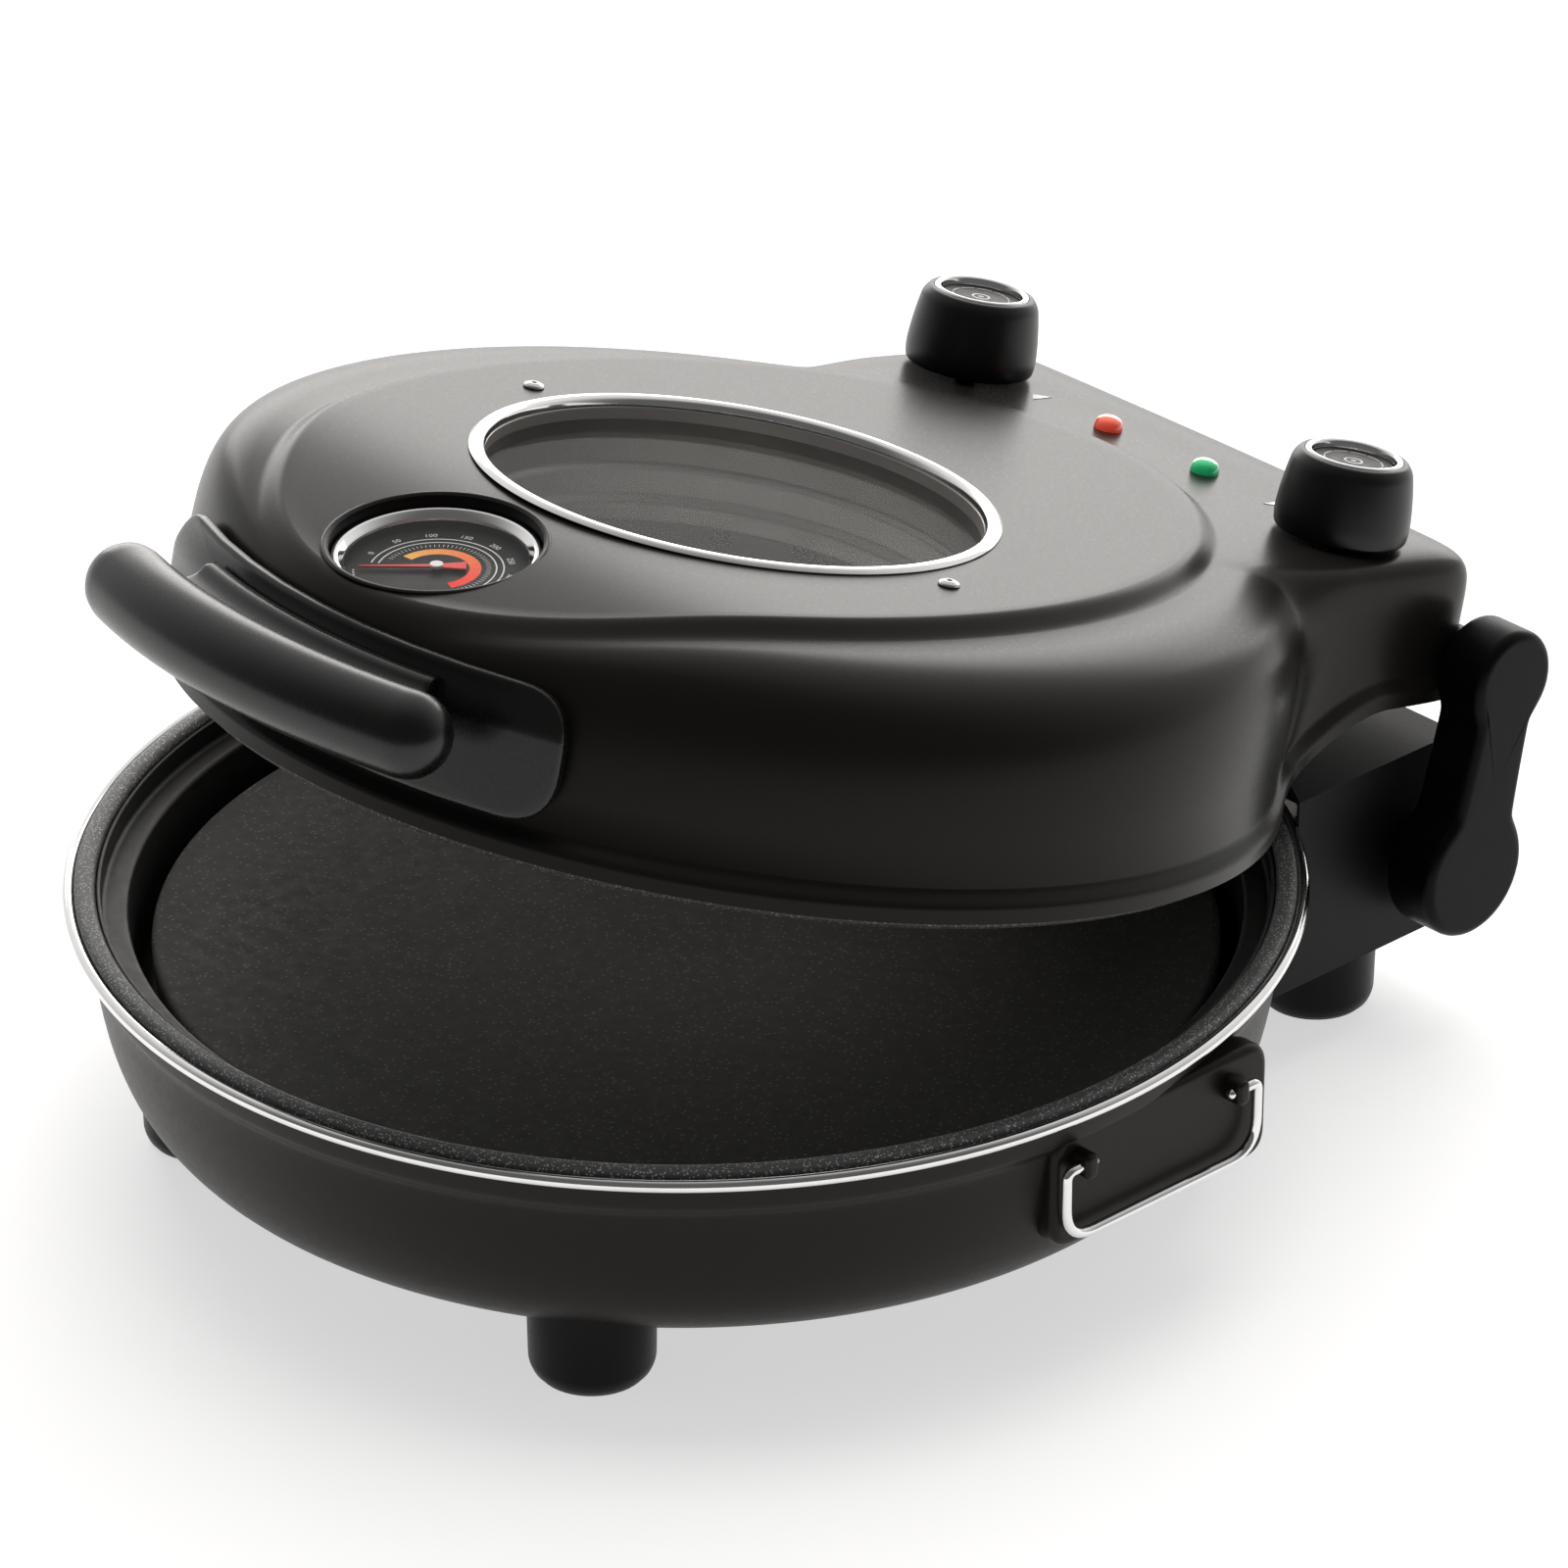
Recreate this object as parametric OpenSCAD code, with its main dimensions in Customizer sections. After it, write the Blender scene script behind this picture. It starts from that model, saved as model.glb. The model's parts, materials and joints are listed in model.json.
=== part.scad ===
// Countertop electric pizza maker: round bowl-shaped base, domed lid with a
// round window, rear control console and two side arms that carry the lid.
// Base pieces are drawn about the axis of the bowl. Lid pieces are drawn about
// the axis of the closed lid, then swung up to the pose the part is kept in.
// -Y is the front with the handle, +Y the hinge, +Z up, Z = 0 the table.

/* [Base bowl] */
// Radius of the chrome rim ring, to the middle of its wire
rim_r = 175; // [172:1:178]
// Height of the chrome rim ring above the table
rim_z = 80; // [78:1:82]
// Thickness of the chrome rim wire, as a radius
rim_wire_r = 1.8; // [1.2:0.2:2.2]
// Height of the bowl's flat bottom above the table
bowl_bottom_z = 18.5; // [17:0.5:20]
// Thickness of the pressed steel sheet
sheet = 1.6; // [1.2:0.2:2]

/* [Cooking plate] */
// Radius of the round baking stone
stone_r = 152; // [148:1:154]
// Thickness of the baking stone
stone_t = 8; // [6:1:9]
// Height of the stone's top face above the table
stone_top_z = 65; // [63:1:66]

/* [Feet] */
// Radius of a foot
foot_r = 18; // [16:1:19]
// Distance of the front feet from the middle, sideways
front_foot_x = 84.5; // [80:0.5:86]
// Distance of the front feet in front of the bowl's axis
front_foot_y = 110.7; // [106:0.1:112]
// Distance of the rear feet from the middle, sideways
rear_foot_x = 73.7; // [70:0.1:76]
// Distance of the rear feet behind the bowl's axis
rear_foot_y = 183; // [178:1:188]

/* [Hinge] */
// Height of the hinge pins above the table
hinge_z = 54.3; // [53:0.1:56]
// Distance of the hinge pins behind the bowl's axis
hinge_y = 198.5; // [197:0.5:200]
// Angle at which the lid stands open
open_angle = 13.1; // [10:0.1:16]
// Distance from hinge pin to the arm's upper fastening
arm_len = 59.2; // [57:0.1:61]
// Thickness of a hinge arm
arm_t = 18; // [17:1:20]
// Radius of the arm's lower end, round the hinge pin
arm_low_r = 20; // [18:0.5:21]
// Radius of the arm's upper end
arm_top_r = 15.5; // [14:0.5:16]
// Radius of a hinge pin
pin_r = 4; // [3.5:0.5:4.5]

/* [Lid] */
// Outer radius of the round lid at its lower edge
lid_r = 160; // [158:1:162]
// Height of the closed lid's lower edge above the table
lid_edge_z = 82; // [81:1:84]
// Height of the lid's flat top above the table when it is closed
lid_top_z = 151; // [149:1:153]
// Distance of the lid's axis behind the bowl's axis
lid_back = 3; // [2:1:4]
// Thickness of the lid's skin
lid_skin = 1.8; // [1.4:0.2:2.2]
// Half width of the raised top face
plateau_half_w = 107; // [104:1:110]
// Reach of the raised top face in front of the lid's axis
plateau_front = 149; // [147:1:150]
// Reach of the raised top face behind the lid's axis
plateau_rear = 138; // [134:1:141]
// Half width of the control console
console_half_w = 103; // [101:1:104]
// Reach of the console behind the lid's axis
console_reach = 204; // [202:1:206]

/* [Window] */
// Outer radius of the chrome window ring
window_ring_r = 75.5; // [74:0.5:77]
// Position of the window's centre behind the lid's axis
window_y = -10.8; // [-12:0.1:-9]
// Distance of the two window rivets from the window's centre
rivet_x = 86; // [84:1:88]

/* [Temperature gauge] */
// Radius of the opening in the lid
gauge_r = 30; // [29:0.5:30.5]
// Position of the gauge behind the lid's axis
gauge_y = -121; // [-122:1:-120]

/* [Knobs and lamps] */
// Distance of a knob from the middle, sideways
knob_x = 77; // [74:1:78]
// Distance of the knobs behind the lid's axis
knob_y = 158; // [155:1:161]
// Radius of a knob at its foot
knob_r = 19.8; // [18:0.1:20.5]
// Height of a knob
knob_h = 24; // [20:0.5:26]
// Distance of a lamp from the middle, sideways
lamp_x = 20; // [16:1:24]
// Distance of the lamps behind the lid's axis
lamp_y = 161; // [158:1:164]

/* [Front handle] */
// Radius of the round grip
grip_r = 12; // [10.5:0.5:12.5]
// Distance of the grip's middle line from the lid's axis
grip_reach = 185; // [185:1:188]
// Angle that the grip covers to each side of the middle
grip_half_angle = 18.5; // [17:0.5:20]
// Height of the grip's middle line above the table when the lid is closed
grip_z = 116; // [114:1:118]

/* [Bail handles] */
// Position of the bail handles' middle behind the bowl's axis
bail_y = 17.5; // [14:0.5:21]
// Half the distance between the legs of a bail
bail_half = 36.5; // [35:0.5:38]
// Radius of the bail wire
bail_wire_r = 1.7; // [1.5:0.1:1.9]
// Drop of a hanging bail from its pivots to its bar
bail_drop = 21.5; // [20.5:0.5:23]

/* [Hidden] */
$fn = 96;
eps = 0.5;
fit_gap = 0.05;   // running clearance of a shaft in its hole, per side
skin_gap = 0.3;   // clearance between neighbouring skins

// The frame's origin lies under the middle of the whole object's footprint.
front_reach = rim_r + rim_wire_r;
rear_reach = hinge_y + arm_len * sin(open_angle) + arm_top_r;
frame_y = (rear_reach - front_reach) / 2;

// Bowl outline, as radius and height, from the bottom edge to the rim
bowl_flat_r = 139;
bowl_outer = [
    [bowl_flat_r, bowl_bottom_z],
    [148.5, bowl_bottom_z + 1.7],
    [155.5, bowl_bottom_z + 5.9],
    [161, bowl_bottom_z + 12.9],
    [165.3, bowl_bottom_z + 22.9],
    [167.7, bowl_bottom_z + 34.5],
    [169, bowl_bottom_z + 44.5],
    [169.7, bowl_bottom_z + 49.2],
    [171.8, bowl_bottom_z + 51.9],
    [172.7, rim_z - 4],
    [173.2, rim_z - 1]
];
cover_hole_r = 126;
rim_fit_r = 173.5;    // where the rim wire is flattened to fit the bowl and seat
liner_floor_z = 44;

// Rear housing of the base
housing_half_w = 100;
housing_back = 212;
housing_low_z = 27;
housing_top_z = 88;
housing_wall = 2.5;
housing_corner = 9;

// Rear cover of the housing, and the posts that its screws go into
cover_w = 170;
cover_h = 55;
cover_t = 1.8;
post_x = 70;
post_inset = 6;
post_r = 4;
cheek_r = 13;

// Hinge arms
arm_in_x = 104;
arm_boss_r = 9;
arm_boss_x = 90;
bush_r = 6;
pin_head_r = 7;
washer_r = 9;

// Lid shape
lip_h = 9;            // height of the flared lip
lip_out = 3.5;        // how far the lip flares out
console_rise = 20;    // how much higher the console's lower edge lies
crease_drop = 4.4;    // step down all round the raised top face
crease_w = 8;
dome_power = 4;       // roundness of the dome's shoulder
console_edge_power = 9;
console_power = 20;   // squareness of the console's plan corners
join_power = 22;      // sharpness of the corner between dome and console
front_fall = 0.28;    // slope of the top face towards the front
fall_start = 98;
fall_blend = 10;
window_bore_r = 72;
well_r = 71;
TOP_ROWS = 6;
CREASE_ROWS = 3;
SIDE_ROWS = 11;
LIP_ROWS = 3;
ANGLES = concat([for (a = [180 : 5 : 355]) a], [for (a = [0 : 2.5 : 177.5]) a]);
ROWS = TOP_ROWS + CREASE_ROWS + SIDE_ROWS + LIP_ROWS + 1;

gauge_z = plateau_z(gauge_y);
gauge_sink = 3.5;     // how deep the bezel lies under the lid's face
stem_reach = 29.5;    // reach of the stem under the bezel, clear of the upper heater
element_r = 4;
element_lower_z = 51;
element_upper_z = 109;
liner_top_z = 118;

plate_half_angle = 30;
plate_in_r = 157.3;
plate_out_r = 163.4;
web_half_angle = 16;
web_half_t = 4.5;
flange_r = plate_out_r + 2.4;
screw_r = 2;

bail_pivot_x = 174.5;
bail_pivot_z = 64;
bail_bend_r = 7;
lug_half = 29;
stub_half = 26;        // where the bail's ends stop, inside the lugs
pad_face_x = 171;
pad_y = 21;
pad_half = 41;
pad_low_z = 37;
pad_top_z = 73;

// ---------- helpers ----------

// Places base pieces, drawn about the bowl's axis
module on_base() {
    translate([0, -frame_y, 0])
        children();
}

// Places lid pieces, drawn about the closed lid's axis, at the open angle
module on_lid() {
    on_base()
        translate([0, hinge_y, hinge_z])
            rotate([-open_angle, 0, 0])
                translate([0, lid_back - hinge_y, -hinge_z])
                    children();
}

// Places gauge pieces: the dial lies level while the lid stands open
module on_gauge() {
    on_lid()
        translate([0, gauge_y, gauge_z])
            rotate([open_angle, 0, 0])
                children();
}

// Repeats a piece on the left and on the right
module both_sides() {
    children();
    mirror([1, 0, 0])
        children();
}

// A cylinder that runs along X from x0 to x1
module rod_x(x0, x1, r) {
    translate([x0, 0, 0])
        rotate([0, 90, 0])
            cylinder(r = r, h = x1 - x0);
}

// A flat ring
module ring(r_out, r_in, h) {
    difference() {
        cylinder(r = r_out, h = h);
        translate([0, 0, -eps])
            cylinder(r = r_in, h = h + 2 * eps);
    }
}

// A rectangle with round corners, centred
module round_rect(w, d, r) {
    square([w - 2 * r, d], center = true);
    square([w, d - 2 * r], center = true);
    for (x = [-1, 1], y = [-1, 1])
        translate([x * (w / 2 - r), y * (d / 2 - r)])
            circle(r);
}

// A ring of wire
module wire_ring(r, wire_r, angle = 360) {
    rotate_extrude(angle = angle)
        translate([r, 0])
            circle(wire_r, $fn = 32);
}

// A pan-head screw that points down from its head at the origin
module screw(r, length, head_r) {
    translate([0, 0, -length])
        cylinder(r = r, h = length);
    rotate_extrude()
        polygon([[0, 0], [head_r, 0], [head_r, 0.6 * r], [0.7 * head_r, r], [0, r]]);
}

// ---------- lid surface ----------

function smooth(t) = t <= 0 ? 0 : t >= 1 ? 1 : t * t * (3 - 2 * t);
function mix(a, b, t) = a + (b - a) * t;

// Height of the raised top face: level, and curving down towards the front
function plateau_z(y) =
    lid_top_z - front_fall * fall_blend * ln(1 + exp((-y - fall_start) / fall_blend));

// Distance to the console's outline, a box with rounded corners, in direction a
function console_r(a) = sin(a) <= 0.02 ? 1
    : pow(pow(abs(cos(a)) / console_half_w, console_power)
        + pow(sin(a) / console_reach, console_power), -1 / console_power);

// Outline of the lid's lower edge: circle and console joined by a soft corner
function edge_r(a) = pow(pow(lid_r, join_power) + pow(console_r(a), join_power), 1 / join_power);

// Outline of the raised top face
function plateau_r(a) = let (reach = sin(a) < 0 ? plateau_front : plateau_rear)
    1 / sqrt(pow(cos(a) / plateau_half_w, 2) + pow(sin(a) / reach, 2));

// Distance from the lid's axis to the window opening in direction a
function window_edge(a) =
    window_y * sin(a) + sqrt(pow(window_bore_r, 2) - pow(window_y * cos(a), 2));

// 0 on the round lid, 1 on the console
function console_share(a) = smooth((console_r(a) - lid_r + 6) / 26);

// Height of the lower edge, which climbs towards the back of the console
function edge_z(y) = lid_edge_z + console_rise * smooth((y - 105) / 60);

// Height of the lid's surface at reach r in direction a, from the top face
// down to the wall's foot: a rounded-box curve with a soft step beside the top face
function shoulder_z(a, r, r_top, r_wall, z_foot, z_top) =
    let (
        power = mix(dome_power, console_edge_power, console_share(a)),
        t = min(1, (r - r_top) / (r_wall - r_top)),
        rise = pow(1 - pow(t, power), 1 / power),
        step = smooth((r - r_top) / crease_w)
    )
    z_foot + (z_top - z_foot) * rise - crease_drop * step * rise;

// One point of the skin: direction a, row k from the window to the lower edge
function skin_point(a, k, inset) =
    let (
        r_edge = edge_r(a) - inset,
        r_top = plateau_r(a),
        r_wall = r_edge - lip_out,
        z_edge = edge_z(edge_r(a) * sin(a)),
        z_foot = z_edge + lip_h,
        z_top = plateau_z(r_top * sin(a)) - inset,
        crease_k = k - TOP_ROWS,
        side_k = crease_k - CREASE_ROWS,
        lip_k = (side_k - SIDE_ROWS) / LIP_ROWS,
        crease_r = min(crease_w, 0.5 * (r_wall - r_top)),
        power = mix(dome_power, console_edge_power, console_share(a)),
        r_in = mix(window_edge(a), r_top, k / TOP_ROWS),
        r_side = side_k <= 0 ? r_top + crease_r * crease_k / CREASE_ROWS
            : mix(r_top + crease_r, r_wall, pow(sin(90 * side_k / SIDE_ROWS), 2 / power)),
        r = k <= TOP_ROWS ? r_in : lip_k <= 0 ? r_side : mix(r_wall, r_edge, smooth(1.5 * lip_k)),
        z = k <= TOP_ROWS ? plateau_z(r_in * sin(a)) - inset
            : lip_k <= 0 ? shoulder_z(a, r_side, r_top, r_wall, z_foot, z_top)
            : z_foot - lip_h * lip_k
    )
    [r * cos(a), r * sin(a), z];

// Height of the lid's surface at a spot on the top face or the console
function skin_z(x, y) =
    let (a = atan2(y, x), r = norm([x, y]), r_top = plateau_r(a))
    r <= r_top ? plateau_z(y)
    : shoulder_z(a, r, r_top, edge_r(a) - lip_out, edge_z(edge_r(a) * sin(a)) + lip_h, plateau_z(r_top * sin(a)));

shaft_r = 3;
lens_r = 4.7;
knob_seat_z = skin_z(knob_x, knob_y);
lamp_seat_z = skin_z(lamp_x, lamp_y);

module lid_skin_solid() {
    count = len(ANGLES);
    outer = [for (k = [0 : ROWS - 1], a = ANGLES) skin_point(a, k, 0)];
    inner = [for (k = [0 : ROWS - 1], a = ANGLES) skin_point(a, k, lid_skin)];
    shift = ROWS * count;
    quads = concat(
        [for (k = [0 : ROWS - 2], i = [0 : count - 1]) let (j = (i + 1) % count)
            [k * count + i, k * count + j, (k + 1) * count + j, (k + 1) * count + i]],
        [for (k = [0 : ROWS - 2], i = [0 : count - 1]) let (j = (i + 1) % count)
            [shift + k * count + j, shift + k * count + i, shift + (k + 1) * count + i, shift + (k + 1) * count + j]],
        [for (i = [0 : count - 1]) let (j = (i + 1) % count)
            [j, i, shift + i, shift + j]],
        [for (i = [0 : count - 1]) let (j = (i + 1) % count, last = (ROWS - 1) * count)
            [last + i, last + j, shift + last + j, shift + last + i]]
    );
    triangles = [for (q = quads, half = [0, 1]) half == 0 ? [q[0], q[1], q[2]] : [q[0], q[2], q[3]]];
    polyhedron(points = concat(outer, inner), faces = triangles);
}

// ---------- base ----------

// The bowl's outside as a solid, grown sideways by grow, to cut neighbours with
module bowl_solid(grow = 0) {
    rotate_extrude()
        polygon(concat(
            [[0, bowl_bottom_z - grow]],
            [for (p = bowl_outer) [p[0] + grow, p[1] - grow]],
            [[rim_r + rim_wire_r + grow, rim_z - 4 - grow], [rim_r + rim_wire_r + grow, housing_top_z + 20],
             [0, housing_top_z + 20]]
        ));
}

module base_bowl() {
    color([0.11, 0.10, 0.09])
        on_base()
            difference() {
                rotate_extrude()
                    polygon(concat(
                        [[cover_hole_r, bowl_bottom_z]],
                        bowl_outer,
                        [for (i = [len(bowl_outer) - 1 : -1 : 0])
                            [bowl_outer[i][0] - sheet, max(bowl_outer[i][1], bowl_bottom_z + sheet)]],
                        [[cover_hole_r, bowl_bottom_z + sheet]]
                    ));
                // passage for the wires, into the rear housing
                translate([0, 150, 50])
                    rotate([-90, 0, 0])
                        cylinder(r = 8, h = 40);
                foot_places()
                    cylinder(r = 2.1, h = 60);
                cover_screw_places()
                    cylinder(r = 1.6, h = 60);
            }
}

module cover_screw_places() {
    for (a = [0 : 60 : 300])
        rotate([0, 0, a + 30])
            translate([131, 0, 0])
                children();
}

// Underside plate with rows of vent slots
module bottom_cover() {
    color([0.16, 0.16, 0.16])
        on_base()
            translate([0, 0, bowl_bottom_z - 1.2])
                difference() {
                    cylinder(r = 135, h = 1.2);
                    for (a = [0 : 30 : 330])
                        rotate([0, 0, a])
                            translate([0, 70, -eps])
                                linear_extrude(3)
                                    round_rect(5, 50, 2.4);
                    foot_places()
                        translate([0, 0, -eps])
                            cylinder(r = foot_r + skin_gap, h = 3);
                    cover_screw_places()
                        translate([0, 0, -eps])
                            cylinder(r = 1.6, h = 3);
                }
}

module cover_screws() {
    color("silver")
        on_base()
            cover_screw_places()
                translate([0, 0, bowl_bottom_z - 1.2])
                    rotate([180, 0, 0])
                        screw(1.5, 5, 3);
}

module rim_ring() {
    color([0.85, 0.85, 0.85])
        on_base()
            translate([0, 0, rim_z])
                rotate_extrude()
                    intersection() {
                        translate([rim_r, 0])
                            circle(rim_wire_r, $fn = 48);
                        translate([rim_fit_r, -5])
                            square([5, 10]);
                    }
}

// Enamelled seat on which the lid closes: flat ring with a step down inside
module seat_ring() {
    color([0.35, 0.35, 0.34])
        on_base()
            rotate_extrude()
                polygon([
                    [167.2, rim_z - 5], [170, rim_z - 5], [170, rim_z - 1],
                    [173.2, rim_z - 0.8], [173.2, rim_z + 1.8], [172.4, rim_z + 3],
                    [168.2, rim_z + 3], [167.2, rim_z + 2]
                ]);
}

module inner_pan() {
    color([0.12, 0.12, 0.12])
        on_base()
            difference() {
                rotate_extrude()
                    polygon([
                        [0, liner_floor_z], [153, liner_floor_z], [157, liner_floor_z + 3],
                        [159.5, rim_z - 7], [167, rim_z - 7], [167, rim_z + 1], [165.8, rim_z + 1],
                        [165.8, rim_z - 5.8], [158.3, rim_z - 5.8], [155.8, liner_floor_z + 3.6],
                        [152.5, liner_floor_z + 1.2], [0, liner_floor_z + 1.2]
                    ]);
                element_legs()
                    cylinder(r = element_r + 0.4, h = 60);
            }
}

module baking_stone() {
    color([0.20, 0.19, 0.18])
        on_base()
            translate([0, 0, stone_top_z - stone_t])
                rotate_extrude()
                    polygon([
                        [0, 0], [stone_r - 1.5, 0], [stone_r, 1.5], [stone_r, stone_t - 1.5],
                        [stone_r - 1.5, stone_t], [0, stone_t]
                    ]);
}

module stone_supports() {
    color("gray")
        on_base()
            for (a = [45 : 90 : 315])
                rotate([0, 0, a])
                    translate([140, 0, liner_floor_z + 1.2])
                        cylinder(r = 5, h = stone_top_z - stone_t - liner_floor_z - 1.2);
}

// Places of the two straight ends of a heating element, side by side
module element_legs() {
    for (x = [-1, 1])
        translate([x * 14, 109, 0])
            children();
}

element_ring_r = sqrt(14 * 14 + 109 * 109);
element_gap_angle = 2 * atan(14 / 109);

// A round tubular heater with two straight ends that point down or up
module heating_element(z, leg_h) {
    translate([0, 0, z]) {
        rotate([0, 0, 90 + element_gap_angle / 2])
            wire_ring(element_ring_r, element_r, 360 - element_gap_angle);
        element_legs()
            sphere(element_r + 0.15);
        element_legs()
            translate([0, 0, min(0, leg_h)])
                cylinder(r = element_r, h = abs(leg_h));
    }
}

module lower_heating_element() {
    color([0.25, 0.24, 0.23])
        on_base()
            heating_element(element_lower_z, -22);
}

module lower_element_clips() {
    color("silver")
        on_base()
            for (a = [210, 330, 90 + 60])
                rotate([0, 0, a])
                    translate([element_ring_r, 0, liner_floor_z + 1.2])
                        element_clip(element_lower_z - liner_floor_z - 1.2);
}

// A saddle that holds the heater tube at height h
module element_clip(h) {
    difference() {
        translate([-6, -4, 0])
            cube([12, 8, h]);
        translate([0, 5, h])
            rotate([90, 0, 0])
                cylinder(r = element_r + 0.3, h = 10);
    }
}

module rear_housing() {
    color([0.09, 0.09, 0.09])
        on_base()
            difference() {
                housing_block(0);
                housing_cavity();
                bowl_solid(skin_gap);
                // the back is open and takes the rear cover
                translate([-cover_w / 2 - eps, housing_back - cover_t - fit_gap, housing_low_z + housing_wall])
                    cube([cover_w + 2 * eps, 10, cover_h + 2 * eps]);
                translate([0, hinge_y, hinge_z])
                    rod_x(-130, 130, pin_r + fit_gap);
                foot_places()
                    cylinder(r = 2.1, h = 60);
                rear_cover_screw_places()
                    rotate([90, 0, 0])
                        translate([0, 0, -5])
                            cylinder(r = 1.6, h = 30);
            }
}

module housing_block(inset) {
    depth = housing_back - 110;
    translate([0, housing_back - depth / 2, housing_low_z])
        linear_extrude(housing_top_z - housing_low_z)
            round_rect(2 * (housing_half_w - inset), depth - 2 * inset, housing_corner - inset);
}

// The hollow inside, with solid cheeks left round the hinge pins and posts for the cover screws
module housing_cavity() {
    difference() {
        translate([0, 1, housing_wall])
            intersection() {
                housing_block(housing_wall);
                translate([-200, 0, 0])
                    cube([400, 400, housing_top_z - 2 * housing_wall]);
            }
        both_sides()
            translate([0, hinge_y, hinge_z])
                rod_x(84, 120, cheek_r);
        rear_cover_screw_places()
            rotate([90, 0, 0])
                cylinder(r = post_r, h = 18);
    }
}

module rear_cover_screw_places() {
    for (x = [-1, 1], z = [housing_low_z + post_inset, housing_top_z - post_inset])
        translate([x * post_x, housing_back, z])
            children();
}

inlet_x = -38;
inlet_z = 56;

// Plate that closes the back of the housing, with vent slots and the inlet's opening
module rear_cover() {
    color([0.10, 0.10, 0.10])
        on_base()
            difference() {
                translate([-cover_w / 2, housing_back - cover_t, housing_low_z + housing_wall + eps])
                    cube([cover_w, cover_t, cover_h]);
                translate([inlet_x - 14, housing_back - 5, inlet_z - 10])
                    cube([28, 10, 20]);
                for (i = [0 : 5])
                    translate([14 + 7 * i, housing_back - 5, 44])
                        cube([3, 10, 26]);
                rear_cover_screw_places()
                    translate([0, -5, 0])
                        rotate([-90, 0, 0])
                            cylinder(r = 1.6, h = 10);
            }
}

module rear_cover_screws() {
    color("silver")
        on_base()
            rear_cover_screw_places()
                rotate([-90, 0, 0])
                    screw(1.5, 9, 3);
}

// Appliance inlet: a flanged box with a recess and three flat pins
module power_inlet() {
    color([0.05, 0.05, 0.05])
        on_base()
            translate([inlet_x, housing_back, inlet_z])
                rotate([90, 0, 0]) {
                    difference() {
                        union() {
                            translate([0, 0, -1.6])
                                linear_extrude(1.6)
                                    round_rect(34, 25, 3);
                            translate([-13.8, -9.8, 0])
                                cube([27.6, 19.6, 20]);
                        }
                        translate([0, 0, -3])
                            linear_extrude(20)
                                round_rect(24, 16, 3);
                    }
                    for (x = [-7, 0, 7])
                        translate([x - 1, -2 + (x == 0 ? 2.5 : -1), 4])
                            cube([2, 4, 13.5]);
                }
}

module terminal_block() {
    color([0.85, 0.82, 0.75])
        on_base()
            translate([20, 186, housing_low_z + 2 * housing_wall]) {
                difference() {
                    cube([40, 14, 16]);
                    for (i = [0 : 3])
                        translate([5 + 10 * i, 7, 6])
                            cylinder(r = 2, h = 20);
                }
                translate([-4, 3, 0])
                    cube([48, 8, 3]);
            }
}

// Places of the four feet
module foot_places() {
    both_sides() {
        translate([front_foot_x, -front_foot_y, 0])
            children();
        translate([rear_foot_x, rear_foot_y, 0])
            children();
    }
}

// Moulded feet: the front pair is shaped to the bowl, the rear pair holds the housing
module feet() {
    color([0.04, 0.04, 0.04])
        on_base()
            difference() {
                both_sides() {
                    translate([front_foot_x, -front_foot_y, 0])
                        foot(32);
                    translate([rear_foot_x, rear_foot_y, 0])
                        foot(housing_low_z);
                }
                bowl_solid(0.05);
            }
}

module foot(height) {
    rotate_extrude()
        polygon([
            [0, 2], [15.2, 2], [15.2, 1.2], [foot_r - 1.6, 1.2], [foot_r - 0.8, 2.2],
            [foot_r, height], [2.1, height], [2.1, 7], [5, 7], [5, 4.5], [0, 4.5]
        ]);
}

module foot_pads() {
    color([0.75, 0.75, 0.72])
        on_base()
            foot_places()
                difference() {
                    cylinder(r = 15, h = 2);
                    translate([0, 0, -eps])
                        cylinder(r = 5.2, h = 3);
                }
}

module foot_screws() {
    color("silver")
        on_base() {
            both_sides() {
                translate([front_foot_x, -front_foot_y, 6.9])
                    rotate([180, 0, 0])
                        screw(2, 18, 4.5);
                translate([rear_foot_x, rear_foot_y, 6.9])
                    rotate([180, 0, 0])
                        screw(2, 25, 4.5);
            }
        }
}

// Flat plates on the bowl's sides, each with two lugs for the bail's ends
module bail_plates() {
    color([0.10, 0.09, 0.08])
        on_base()
            both_sides()
                difference() {
                    union() {
                        translate([150, pad_y - pad_half, pad_low_z])
                            cube([pad_face_x - 150, 2 * pad_half, pad_top_z - pad_low_z]);
                        for (side = [-1, 1])
                            translate([170, bail_y + side * lug_half - 2.5, bail_pivot_z - 4])
                                cube([7.5, 5, 8]);
                    }
                    bowl_solid(skin_gap);
                    translate([bail_pivot_x, bail_y + 40, bail_pivot_z])
                        rotate([90, 0, 0])
                            cylinder(r = bail_wire_r + fit_gap, h = 80);
                }
}

// Bent wire handle that hangs from its two inward ends
module bail() {
    leg_top = bail_pivot_z - bail_wire_r;
    bar_z = bail_pivot_z - bail_drop;
    translate([bail_pivot_x, bail_y, 0]) {
        for (side = [-1, 1])
            mirror([0, side < 0 ? 1 : 0, 0]) {
                translate([0, stub_half, bail_pivot_z])
                    rotate([-90, 0, 0])
                        cylinder(r = bail_wire_r, h = bail_half - stub_half);
                translate([0, bail_half, bail_pivot_z])
                    sphere(bail_wire_r, $fn = 48);
                translate([0, bail_half, bar_z + bail_bend_r])
                    cylinder(r = bail_wire_r, h = leg_top - bar_z - bail_bend_r + bail_wire_r);
                translate([0, bail_half - bail_bend_r, bar_z + bail_bend_r])
                    rotate([0, -90, 0])
                        rotate([0, 0, 90])
                            wire_ring(bail_bend_r, bail_wire_r, 90);
                translate([0, 0, bar_z])
                    rotate([-90, 0, 0])
                        cylinder(r = bail_wire_r, h = bail_half - bail_bend_r);
            }
    }
}

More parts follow.
